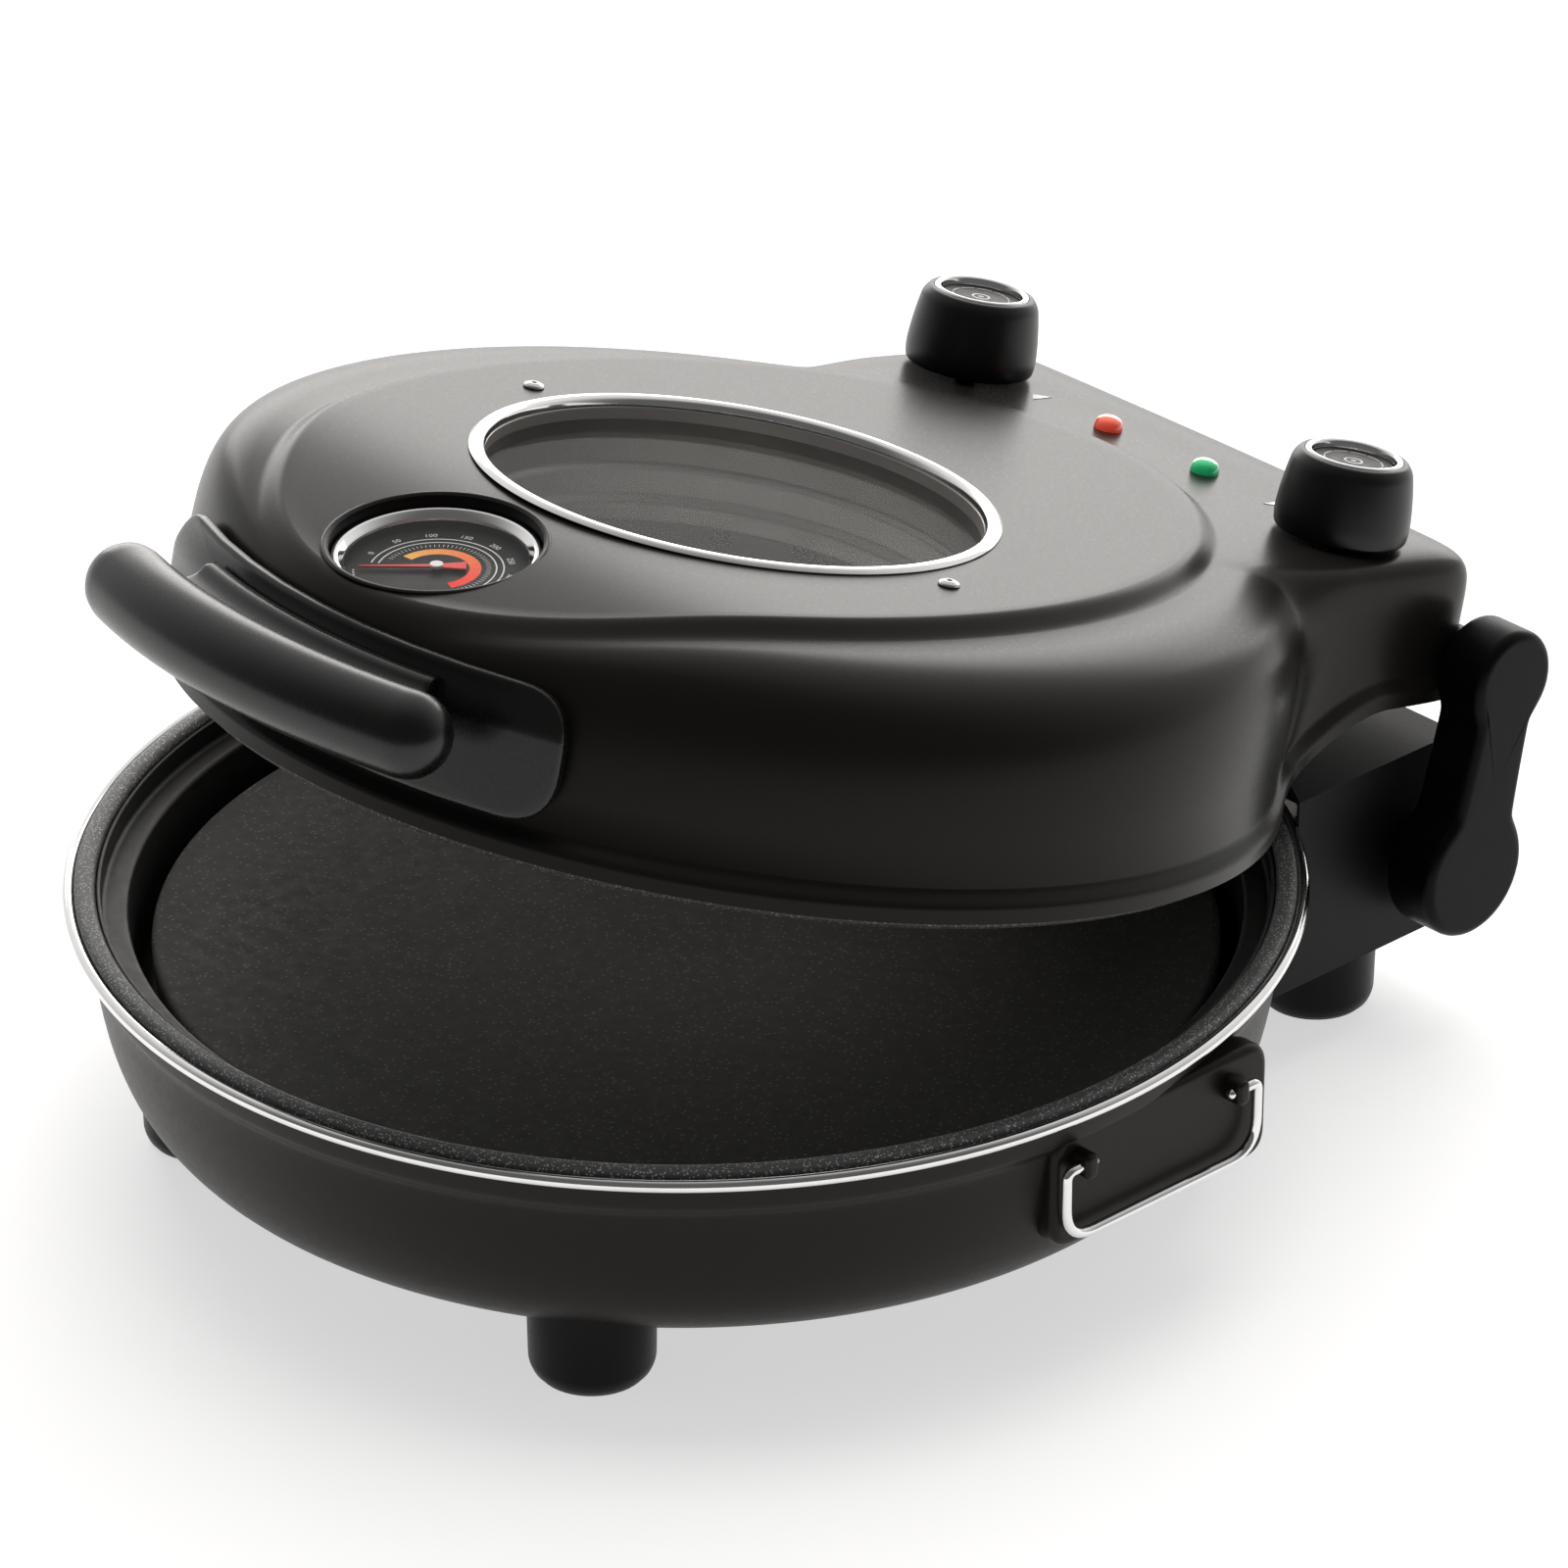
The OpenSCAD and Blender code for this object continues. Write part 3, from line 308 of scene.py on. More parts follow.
LID_R = extent("lid_shell")[0] / 2
LID_EDGE_Z = 82.0
LID_TOP_Z = 151.0
SKIN = 1.8
LIP_H = 9.0
LIP_OUT = 3.5
PLATEAU_HALF_W = 107.0
PLATEAU_FRONT = 149.0
PLATEAU_REAR = 138.0
CONSOLE_HALF_W = 103.0
CONSOLE_REACH = 204.0
CREASE_DROP = 4.4
CREASE_W = 8.0
WINDOW_Y = -10.8
WINDOW_BORE_R = 72.0
GAUGE_Y = -121.0
GAUGE_R = 30.0
KNOB_SPOT = (77.0, 158.0)
LAMP_SPOT = (20.0, 161.0)
RIVET_X = 86.0


def ease(t):
    """0 before 0, 1 after 1, and a smooth step between."""
    t = np.clip(t, 0, 1)
    return t * t * (3 - 2 * t)


def plateau_z(y):
    """Height of the raised top: level, and bending softly into a slope towards the front."""
    return LID_TOP_Z - 2.8 * np.log1p(np.exp((-y - 98.0) / 10.0))


def edge_r(a):
    """Reach of the lid's outline in direction a, and of the console's box alone. The outline
    is the larger of the round lid and that box, blended by a high power where they meet."""
    up = np.maximum(np.sin(a), 1e-6)
    box = ((np.abs(np.cos(a)) / CONSOLE_HALF_W) ** 20 + (up / CONSOLE_REACH) ** 20) ** (-1 / 20)
    box = np.where(np.sin(a) > 0.02, box, 1.0)
    return (LID_R**22 + box**22) ** (1 / 22), box


def plateau_r(a):
    """Reach of the raised top: half an ellipse in front and another behind."""
    reach = np.where(np.sin(a) < 0, PLATEAU_FRONT, PLATEAU_REAR)
    return 1 / np.sqrt((np.cos(a) / PLATEAU_HALF_W) ** 2 + (np.sin(a) / reach) ** 2)


def edge_z(y):
    """Height of the lower edge, which climbs towards the back of the console."""
    return LID_EDGE_Z + 20.0 * ease((y - 105.0) / 60.0)


def lid_shape(a):
    """Everything about the lid's section that depends on the direction a alone."""
    outline, box = edge_r(a)
    share = ease((box - LID_R + 6) / 26)
    foot = edge_z(outline * np.sin(a)) + LIP_H
    top_r = plateau_r(a)
    return outline, foot, top_r, 4 + 5 * share


def shoulder_z(r, top_r, wall_r, foot, top, power):
    """Height at reach r: a rounded box curve from the raised top to the wall's foot, less a
    soft step down all round the raised top."""
    t = np.clip((r - top_r) / (wall_r - top_r), 0, 1)
    rise = np.clip(1 - t**power, 0, 1) ** (1 / power)
    return foot + (top - foot) * rise - CREASE_DROP * ease((r - top_r) / CREASE_W) * rise


def lid_z(x, y):
    """Height of the lid's outer surface over a spot."""
    a, r = math.atan2(y, x), math.hypot(x, y)
    outline, foot, top_r, power = lid_shape(np.array(a))
    if r <= top_r:
        return float(plateau_z(y))
    top = plateau_z(top_r * math.sin(a))
    return float(shoulder_z(r, top_r, outline - LIP_OUT, foot, top, power))


def even_directions(count):
    """Directions spaced evenly along the lid's outline."""
    a = np.linspace(-np.pi, np.pi, 8001)
    r = edge_r(a)[0]
    x, y = r * np.cos(a), r * np.sin(a)
    length = np.r_[0, np.cumsum(np.hypot(np.diff(x), np.diff(y)))]
    return np.interp(np.linspace(0, length[-1], count, endpoint=False), length, a)


def lid_side(a, inset):
    """One side of the lid's skin as a grid. The rows run from the window's edge over the
    raised top, down the rounded shoulder and wall, out through a hollow and down the lip."""
    outline, foot, top_r, power = lid_shape(a)
    sin, cos = np.sin(a), np.cos(a)
    rim = outline - inset
    wall_r = rim - LIP_OUT
    top = plateau_z(top_r * sin) - inset
    bore = WINDOW_Y * sin + np.sqrt(WINDOW_BORE_R**2 - (WINDOW_Y * cos) ** 2)
    u = np.linspace(0, 1, 15)[:-1, None]
    r_top = bore + (top_r - bore) * u
    z_top = plateau_z(r_top * sin) - inset
    crease_r = np.minimum(CREASE_W, 0.5 * (wall_r - top_r))
    turn = np.linspace(0, np.pi / 2, 32)[:-1, None]
    r_step = top_r + crease_r * np.linspace(0, 1, 12)[:-1, None]
    r_side = top_r + crease_r + (wall_r - top_r - crease_r) * np.sin(turn) ** (2 / power)
    r_side = np.vstack([r_step, r_side])
    z_side = shoulder_z(r_side, top_r, wall_r, foot, top, power)
    v = np.linspace(0, 1, 14)[:, None]
    r_lip = wall_r + LIP_OUT * ease(v / 0.55)
    z_lip = foot - LIP_H * v + 0 * rim
    r = np.vstack([r_top, r_side, r_lip])
    z = np.vstack([z_top, z_side, z_lip])
    return np.stack([r * cos, r * sin, z], -1)


# ---------- finishes ----------


def colours():
    """The colours that a user can set."""
    return bpy.context.scene.pizza_maker_colours


def made_before(name):
    """The finish of that name, if it has been made already."""
    return bpy.data.materials.get(f"{name} finish")


def surface(name, colour, other=None, rough=(0.3, 0.4), metal=0.0, grain=60.0, bump=0.02, **more):
    """A finish whose colour and roughness drift with a fine noise, over a slight bump.
    more holds further sockets of the shader by name."""
    if made_before(name):
        return made_before(name)
    material = bpy.data.materials.new(f"{name} finish")
    material.use_nodes = True
    nodes, links = material.node_tree.nodes, material.node_tree.links
    shader = nodes["Principled BSDF"]
    coords = nodes.new("ShaderNodeTexCoord")
    noise = nodes.new("ShaderNodeTexNoise")
    noise.inputs["Scale"].default_value = grain
    noise.inputs["Detail"].default_value = 3
    links.new(coords.outputs["Object"], noise.inputs["Vector"])
    other = other or [c * 0.86 for c in colour[:3]]
    mix = nodes.new("ShaderNodeMix")
    mix.data_type = "RGBA"
    mix.inputs["A"].default_value = (*colour[:3], 1)
    mix.inputs["B"].default_value = (*other[:3], 1)
    links.new(noise.outputs["Fac"], mix.inputs["Factor"])
    links.new(mix.outputs["Result"], shader.inputs["Base Color"])
    spread = nodes.new("ShaderNodeMapRange")
    spread.inputs["From Min"].default_value = 0.3
    spread.inputs["From Max"].default_value = 0.7
    spread.inputs["To Min"].default_value = rough[0]
    spread.inputs["To Max"].default_value = rough[1]
    links.new(noise.outputs["Fac"], spread.inputs["Value"])
    links.new(spread.outputs["Result"], shader.inputs["Roughness"])
    if bump:
        relief = nodes.new("ShaderNodeBump")
        relief.inputs["Strength"].default_value = bump
        relief.inputs["Distance"].default_value = 0.0002
        links.new(noise.outputs["Fac"], relief.inputs["Height"])
        links.new(relief.outputs["Normal"], shader.inputs["Normal"])
    shader.inputs["Metallic"].default_value = metal
    for socket, value in more.items():
        shader.inputs[socket.replace("_", " ")].default_value = value
    return material


def lid_paint():
    """Satin dark paint: it hardly shows a colour of its own, and takes its greys from the room."""
    return surface(
        "lid_paint", colours().lid, rough=(0.27, 0.31), grain=900, bump=0.02, Specular_IOR_Level=0.16,
        Specular_Tint=(1.0, 0.965, 0.93, 1),
    )


def base_paint():
    """Satin brown-black paint of the bowl, with hardly any shine."""
    return surface(
        "base_paint", colours().bowl, rough=(0.36, 0.42), grain=500, bump=0.03, Specular_IOR_Level=0.2,
        Specular_Tint=(1.0, 0.93, 0.87, 1),
    )


def cover_steel():
    """Dull dark sheet of the covers."""
    return surface("cover_steel", (0.1, 0.1, 0.1), rough=(0.45, 0.6), metal=0.6, grain=200)


def screws():
    """Bright plated screws and rivets."""
    return surface("screws", (0.62, 0.61, 0.6), rough=(0.2, 0.3), metal=1.0, grain=300)


def chrome_trim():
    """Polished chrome of the trims and rings."""
    return surface("chrome_trim", (0.86, 0.85, 0.84), rough=(0.07, 0.13), metal=1.0, grain=120, bump=0.01)


def chrome_wire():
    """Polished chrome of the bail wires."""
    return surface("chrome_wire", (0.84, 0.84, 0.84), rough=(0.06, 0.12), metal=1.0, grain=150, bump=0.01)


def speckles(material, scale, size, dark, pale):
    """Replaces a finish's colour by small pale dots on a dark ground: a dot lies wherever
    the distance to the nearest of many scattered points is under size."""
    nodes, links = material.node_tree.nodes, material.node_tree.links
    dots = nodes.new("ShaderNodeTexVoronoi")
    dots.inputs["Scale"].default_value = scale
    links.new(nodes["Texture Coordinate"].outputs["Object"], dots.inputs["Vector"])
    ramp = nodes.new("ShaderNodeValToRGB")
    ramp.color_ramp.elements[0].position = size
    ramp.color_ramp.elements[0].color = (*pale, 1)
    ramp.color_ramp.elements[1].position = size + 0.12
    ramp.color_ramp.elements[1].color = (*dark, 1)
    links.new(dots.outputs["Distance"], ramp.inputs["Fac"])
    links.new(ramp.outputs["Color"], nodes["Principled BSDF"].inputs["Base Color"])
    return material


def speckled_enamel():
    """Dark enamel with fine pale dots."""
    if made_before("speckled_enamel"):
        return made_before("speckled_enamel")
    made = surface("speckled_enamel", (0.06, 0.06, 0.06), rough=(0.4, 0.55), grain=700, bump=0.15)
    return speckles(made, 1100, 0.22, (0.045, 0.045, 0.045), (0.30, 0.30, 0.29))


def pan_coating():
    """Near-black lining of the pan."""
    return surface(
        "pan_coating", (0.010, 0.009, 0.008), rough=(0.42, 0.5), grain=300,
        bump=0.05, Specular_IOR_Level=0.3,
    )


def stone():
    """Matt dark stone with a few paler grains."""
    if made_before("stone"):
        return made_before("stone")
    made = surface("stone", (0.05, 0.047, 0.043), rough=(0.75, 0.9), grain=250, bump=0.4)
    return speckles(made, 500, 0.14, (0.042, 0.04, 0.037), (0.11, 0.105, 0.1))


def plain_steel():
    """Bare steel of the hidden parts."""
    return surface("plain_steel", (0.5, 0.49, 0.48), rough=(0.25, 0.4), metal=1.0, grain=250)


def heater_tube():
    """Heating tube, darkened and slightly straw-coloured by heat."""
    dark, straw = (0.13, 0.12, 0.11), (0.2, 0.17, 0.14)
    return surface("heater_tube", dark, straw, rough=(0.35, 0.5), metal=0.8, grain=90)


def black_plastic():
    """Matt black casing."""
    return surface(
        "black_plastic", (0.006, 0.006, 0.006), rough=(0.42, 0.5), grain=900,
        bump=0.06, Specular_IOR_Level=0.15,
    )


def inlet_plastic():
    """Smoother black of the inlet."""
    return surface("inlet_plastic", (0.01, 0.01, 0.01), rough=(0.35, 0.45), grain=700)


def pale_plastic():
    """Pale insulating blocks."""
    return surface("pale_plastic", (0.6, 0.57, 0.5), rough=(0.45, 0.55), grain=200)


def foot_plastic():
    """Black moulded feet."""
    return surface(
        "foot_plastic", (0.004, 0.004, 0.004), rough=(0.34, 0.42), grain=700, Specular_IOR_Level=0.15,
    )


def pale_rubber():
    """Pale pads under the feet."""
    return surface("pale_rubber", (0.5, 0.5, 0.48), rough=(0.5, 0.65), grain=300)


def bush_brass():
    """Brass of the hinge bushes."""
    return surface("bush_brass", (0.72, 0.55, 0.25), rough=(0.25, 0.35), metal=1.0, grain=200)


def arm_plastic():
    """Deep black of the hinge arms."""
    return surface(
        "arm_plastic", (0.003, 0.003, 0.003), rough=(0.36, 0.42), grain=600, Specular_IOR_Level=0.1,
    )


def reflector():
    """Bright sheet inside the lid."""
    return surface("reflector", (0.55, 0.54, 0.52), rough=(0.25, 0.4), metal=1.0, grain=60)


def well_steel():
    """Brushed steel of the window's inner wall."""
    return surface("well_steel", (0.42, 0.40, 0.38), rough=(0.35, 0.45), metal=0.7, grain=80)


def glass(name, colour, alpha, gloss):
    """Glass as a thin glossy sheet: see-through up to its tint, with its reflections."""
    made = surface(name, colour, rough=(0.02, 0.03), grain=40, bump=0.0, Specular_IOR_Level=gloss)
    made.node_tree.nodes["Principled BSDF"].inputs["Alpha"].default_value = alpha
    return made


def tinted_glass():
    """Outer pane, tinted brown."""
    return glass("tinted_glass", (0.03, 0.027, 0.024), 0.3, 0.018)


def clear_glass():
    """Clear panes."""
    return glass("clear_glass", (0.3, 0.3, 0.3), 0.05, 0.06)


def gauge_black():
    """Dead black inside the gauge."""
    return surface(
        "gauge_black", (0.003, 0.003, 0.003), rough=(0.4, 0.5), grain=300, Specular_IOR_Level=0.2,
    )


def needle_red():
    """Red of the needle."""
    return surface("needle_red", (0.75, 0.02, 0.015), rough=(0.35, 0.45), grain=300)


def needle_white():
    """White of the needle's hub."""
    return surface("needle_white", (0.8, 0.78, 0.76), rough=(0.35, 0.45), grain=300)


def knob_plastic():
    """Fine-grained black of the knobs."""
    return surface(
        "knob_plastic", (0.004, 0.004, 0.004), rough=(0.34, 0.40), grain=1200,
        bump=0.05, Specular_IOR_Level=0.35,
    )


def handle_plastic():
    """Black of the handle, glossier than the arms."""
    return surface(
        "handle_plastic", (0.006, 0.0055, 0.005), rough=(0.24, 0.30), grain=700,
        bump=0.03, Specular_IOR_Level=0.45,
    )


def red_lens():
    """Faintly lit red lens."""
    return surface(
        "red_lens", colours().left_lamp, (0.9, 0.25, 0.15), rough=(0.06, 0.1), grain=200, bump=0.0,
        Coat_Weight=1.0, Emission_Color=(0.9, 0.05, 0.02, 1), Emission_Strength=0.25,
    )


def green_lens():
    """Faintly lit green lens."""
    return surface(
        "green_lens", colours().right_lamp, (0.05, 0.6, 0.25), rough=(0.06, 0.1), grain=200, bump=0.0,
        Coat_Weight=1.0, Emission_Color=(0.0, 0.45, 0.15, 1), Emission_Strength=0.2,
    )


def mark_white():
    """White print."""
    return surface("mark_white", (0.75, 0.75, 0.74), rough=(0.4, 0.5), grain=500)


class Dial:
    """Builds a printed face from rings and arcs. Radius and angle come from Object
    coordinates, moved to the dial's centre and turned level by a Mapping node."""

    def __init__(self, material, centre, tilt, fold=False):
        self.nodes, self.links = material.node_tree.nodes, material.node_tree.links
        coords = self.nodes["Texture Coordinate"].outputs["Object"]
        if fold:
            coords = self.folded(coords)
        moved = self.nodes.new("ShaderNodeMapping")
        moved.vector_type = "TEXTURE"
        moved.inputs["Location"].default_value = [c * MM for c in centre]
        moved.inputs["Rotation"].default_value = (-tilt, 0, 0)
        self.links.new(coords, moved.inputs["Vector"])
        parts = self.nodes.new("ShaderNodeSeparateXYZ")
        self.links.new(moved.outputs["Vector"], parts.inputs["Vector"])
        x, y = parts.outputs["X"], parts.outputs["Y"]
        square = self.math("MULTIPLY", x, x)
        self.radius = self.math("SQRT", self.math("MULTIPLY_ADD", y, y, square))
        self.angle = self.math("ARCTAN2", y, x)
        self.colour = self.nodes["Principled BSDF"].inputs["Base Color"].links[0].from_socket

    def folded(self, coords):
        """Coordinates with the left side mirrored onto the right, so that one face serves both."""
        apart = self.nodes.new("ShaderNodeSeparateXYZ")
        joined = self.nodes.new("ShaderNodeCombineXYZ")
        self.links.new(coords, apart.inputs["Vector"])
        self.links.new(self.math("ABSOLUTE", apart.outputs["X"]), joined.inputs["X"])
        self.links.new(apart.outputs["Y"], joined.inputs["Y"])
        self.links.new(apart.outputs["Z"], joined.inputs["Z"])
        return joined.outputs["Vector"]

    def math(self, kind, *values):
        """The output of a new Math node, whose inputs are numbers or other nodes' outputs."""
        node = self.nodes.new("ShaderNodeMath")
        node.operation = kind
        for slot, value in zip(node.inputs, values):
            if isinstance(value, (int, float)):
                slot.default_value = value
            else:
                self.links.new(value, slot)
        return node.outputs[0]

    def within(self, value, low, high):
        """1 where the value lies between low and high, and 0 elsewhere."""
        over = self.math("GREATER_THAN", value, low)
        under = self.math("LESS_THAN", value, high)
        return self.math("MULTIPLY", over, under)

    def paint(self, mask, colour):
        """Lays a colour over what is painted so far, where mask is 1."""
        mix = self.nodes.new("ShaderNodeMix")
        mix.data_type = "RGBA"
        self.links.new(mask, mix.inputs["Factor"])
        self.links.new(self.colour, mix.inputs["A"])
        mix.inputs["B"].default_value = (*colour, 1)
        self.colour = mix.outputs["Result"]
        self.links.new(self.colour, self.nodes["Principled BSDF"].inputs["Base Color"])

    def ring(self, low, high, colour, start=-180, end=180, ticks=0, fill=0.3):
        """Paints the ring from radius low to high mm between two angles, whole or as equal ticks."""
        mask = self.within(self.radius, low * MM, high * MM)
        turned_by = self.math("ADD", self.angle, math.radians(720))
        turned_by = self.math("MODULO", self.math("SUBTRACT", turned_by, math.radians(start)), math.tau)
        span = (end - start) % 360 or 360
        mask = self.math("MULTIPLY", mask, self.math("LESS_THAN", turned_by, math.radians(span)))
        if ticks:
            phase = self.math("FRACT", self.math("MULTIPLY", turned_by, ticks / math.radians(span)))
            mask = self.math("MULTIPLY", mask, self.math("LESS_THAN", phase, fill))
        self.paint(mask, colour)


GAUGE_SPOT = lid_spot(0, GAUGE_Y, plateau_z(GAUGE_Y))
WHITE_INK = (0.7, 0.7, 0.68)


def gauge_face():
    """Black dial: an arc band from orange to red, thin pale arcs, and ticks round the edge."""
    if made_before("gauge_face"):
        return made_before("gauge_face")
    made = surface(
        "gauge_face", (0.010, 0.010, 0.010), rough=(0.4, 0.46), grain=300, bump=0.0, Specular_IOR_Level=0.2
    )
    dial = Dial(made, GAUGE_SPOT, 0.0)
    first, last, steps = 187.5, -21.5, 12
    span = (first - last) / steps
    for i in range(steps):
        t = i / (steps - 1)
        tone = (0.85, 0.42 * (1 - t) ** 1.3 + 0.02, 0.10 * (1 - t) + 0.01)
        start = first - span * (i + 1)
        dial.ring(8.9, 12.1, tone, start=start, end=start + span + 0.5)
    dial.ring(13.4, 14.8, WHITE_INK, start=-30, end=205, ticks=48, fill=0.14)
    dial.ring(16.0, 16.4, WHITE_INK, start=-36, end=215)
    dial.ring(18.0, 18.4, WHITE_INK, start=-36, end=215)
    dial.ring(22.2, 22.7, WHITE_INK, start=228, end=302, ticks=28, fill=0.4)
    return made


def knob_face():
    """Dark insert: a thin pale circle broken into dashes, and a small ring round a dot."""
    if made_before("knob_face"):
        return made_before("knob_face")
    made = surface(
        "knob_face", (0.008, 0.008, 0.008), rough=(0.4, 0.5), grain=300, bump=0.0, Specular_IOR_Level=0.2
    )
    knob = lid_spot(*KNOB_SPOT, lid_z(*KNOB_SPOT) + 23)
    dial = Dial(made, knob, OPEN, fold=True)
    dial.ring(8.3, 8.7, (0.42, 0.42, 0.42), ticks=10, fill=0.86)
    dial.ring(2.2, 2.8, (0.45, 0.45, 0.45))
    dial.ring(0, 0.9, (0.3, 0.3, 0.3))
    return made


FINISHES = {
    f.__name__: f
    for f in (
        lid_paint, base_paint, cover_steel, screws, chrome_trim, chrome_wire, speckled_enamel,
        pan_coating, stone, plain_steel, heater_tube, black_plastic, inlet_plastic, pale_plastic,
        foot_plastic, pale_rubber, bush_brass, arm_plastic, reflector, well_steel, tinted_glass,
        clear_glass, gauge_black, needle_red, knob_plastic, handle_plastic, red_lens, green_lens,
        gauge_face, knob_face,
    )
}


# ---------- settings ----------


class PizzaMakerColours(bpy.types.PropertyGroup):
    """Colours that a user would change."""

    lid: bpy.props.FloatVectorProperty(
        name="Lid", description="Paint of the lid", subtype="COLOR", size=3,
        min=0, max=1, default=(0.013, 0.0118, 0.0108),
    )
    bowl: bpy.props.FloatVectorProperty(
        name="Bowl", description="Paint of the base bowl", subtype="COLOR", size=3,
        min=0, max=1, default=(0.013, 0.0105, 0.009),
    )
    left_lamp: bpy.props.FloatVectorProperty(
        name="Left lamp", description="Lens of the left lamp", subtype="COLOR", size=3,
        min=0, max=1, default=(0.75, 0.04, 0.02),
    )
    right_lamp: bpy.props.FloatVectorProperty(
        name="Right lamp", description="Lens of the right lamp", subtype="COLOR", size=3,
        min=0, max=1, default=(0.0, 0.36, 0.13),
    )


class PizzaMakerSizes(bpy.types.PropertyGroup):
    """Sizes, and the strength of the light, that a user would change."""

    window_ring_w: bpy.props.FloatProperty(
        name="Window ring width", description="Width of the chrome ring round the window, in mm",
        default=5.0, min=3.0, max=7.0,
    )
    mark_size: bpy.props.FloatProperty(
        name="Pointer mark", description="Width of the printed triangle beside a knob, in mm",
        default=8.0, min=4.0, max=10.0,
    )
    number_size: bpy.props.FloatProperty(
        name="Dial numbers", description="Type size of the numbers on the gauge, in mm",
        default=2.5, min=1.5, max=3.5,
    )
    lamp_power: bpy.props.FloatProperty(
        name="Studio light", description="Strength of the studio lamps", default=1.0, min=0.2, max=3.0,
    )


def sizes():
    """The sizes that a user can set."""
    return bpy.context.scene.pizza_maker_sizes


# ---------- operators ----------


class PieceOperator:
    """What all operators here share: each builds its pieces in one go."""

    bl_options = {"REGISTER", "UNDO"}

    def execute(self, context):
        self.build()
        return {"FINISHED"}


class PIZZA_OT_bowl(PieceOperator, bpy.types.Operator):
    """Base bowl with its flat side pads: a soft outline turned round the axis"""

    bl_idname = "pizza.bowl"
    bl_label = "Bowl"

    def build(self):
        self.shell()
        self.side_pads()

    @staticmethod
    def shell():
        """The sheet's outline runs up the outside and comes back down inside it."""
        outer = np.array([
            (138, 0), (148.5, 1.2), (156, 5.6), (161.6, 13), (165.5, 23), (167.8, 34.5),
            (169, 45), (169.7, 49.4), (171.8, 51.8), (172.7, 57.5), (173.2, 61),
        ])
        outer = outer + np.array([0, BOWL_BOTTOM_Z])
        inner = outer[::-1] - np.array([BOWL_SHEET, -BOWL_SHEET * 0.5])
        hole_r = 126
        low_edge, high_edge = [hole_r, BOWL_BOTTOM_Z], [hole_r, BOWL_BOTTOM_Z + BOWL_SHEET]
        corners = np.vstack([low_edge, outer, inner, high_edge])
        bends = np.full(len(outer) - 1, 9.0)
        soft = np.r_[0.2, bends, 0.4, 0.4, bends, 0.2]
        turned_piece("bowl", "base_bowl", "base_paint", corners, soft, on_base, body="base", steps=5)

    @staticmethod
    def side_pads():
        """A flat pad on each side, with two lugs that the bail's ends go into."""
        face, back, half_w, height = 171.0, 161.6, 41.0, 36.0
        bail_y = joint("right_bail_hinge")["pos_m"][1] / MM
        pad_y, pad_z = bail_y + 3.5, 55.0
        lug_from, lug_to, lug_apart = 170, 177.3, 29.0
        pads = []
        for side in (1, -1):
            place = then(swap(2, 0, 1), on_side(side, y=pad_y, z=pad_z))
            pads.append(slab(round_box(2 * half_w, height, 7), back, face, 2.5, place, rings=3))
            for end in (-1, 1):
                place = then(swap(2, 0, 1), on_side(side, y=bail_y + end * lug_apart, z=BAIL_PIVOT_Z))
                pads.append(slab(round_box(4.6, 7.6, 2.2), lug_from, lug_to, 1.4, place))
        add_piece("side_pads", pads, "base", "base_paint", ["bail_plates"], weighted=True)


class PIZZA_OT_rims(PieceOperator, bpy.types.Operator):
    """Chrome rim wire, speckled seat, dark pan and baking stone, each turned round the bowl's axis"""

    bl_idname = "pizza.rims"
    bl_label = "Rims, pan and stone"

    def build(self):
        wire = wire_profile(RIM_R, RIM_Z, RIM_WIRE_R, RIM_WIRE_R, 24)
        add_piece("chrome_rim", [turned(wire, on_base, 320)], "base", "chrome_trim", ["rim_ring"])
        seat = [
            (167.2, 75), (170, 75), (170.4, 79), (173.3, 79.2), (173.3, 82), (171.8, 83),
            (168.4, 83), (167.2, 81.5),
        ]
        turned_piece("seat", "seat_ring", "speckled_enamel", seat, 0.9, on_base, body="base")
        pan = [
            (0, 44), (153, 44), (157, 47), (159.5, 73), (167, 73), (167, 81), (165.8, 81),
            (165.8, 74.2), (158.3, 74.2), (155.8, 47.6), (152.5, 45.2), (0, 45.2),
        ]
        turned_piece("pan", "inner_pan", "pan_coating", pan, 1.6, on_base, body="base")
        plate = [(0, 57), (152, 57), (152, 65), (0, 65)]
        turned_piece("stone_plate", "baking_stone", "stone", plate, 2.2, on_base, body="base")


class PIZZA_OT_feet(PieceOperator, bpy.types.Operator):
    """Four moulded feet: a soft outline turned round each foot's axis"""

    bl_idname = "pizza.feet"
    bl_label = "Feet"

    def build(self):
        low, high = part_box("feet")
        foot_r = 18.0
        front_x, front_y, front_top = high[0] / MM - foot_r, low[1] / MM + foot_r, 30.0
        rear_x, rear_y, rear_top = 73.7, high[1] / MM - foot_r, 27.0
        grids = []
        for x, y, top in ((front_x, front_y, front_top), (rear_x, rear_y, rear_top)):
            outline = [
                (0, 2), (15.2, 2), (15.2, 1.2), (16.4, 1.2), (17.6, 4), (foot_r, top), (0, top),
            ]
            outline = rounded(outline, (0, 0.2, 0.1, 0.6, 1.5, 0.6, 0), closed=False)
            for side in (1, -1):
                grids.append(turned(outline, level_at((side * x, y, 0)), 96))
        add_piece("moulded_feet", grids, "base", "foot_plastic", ["feet"])


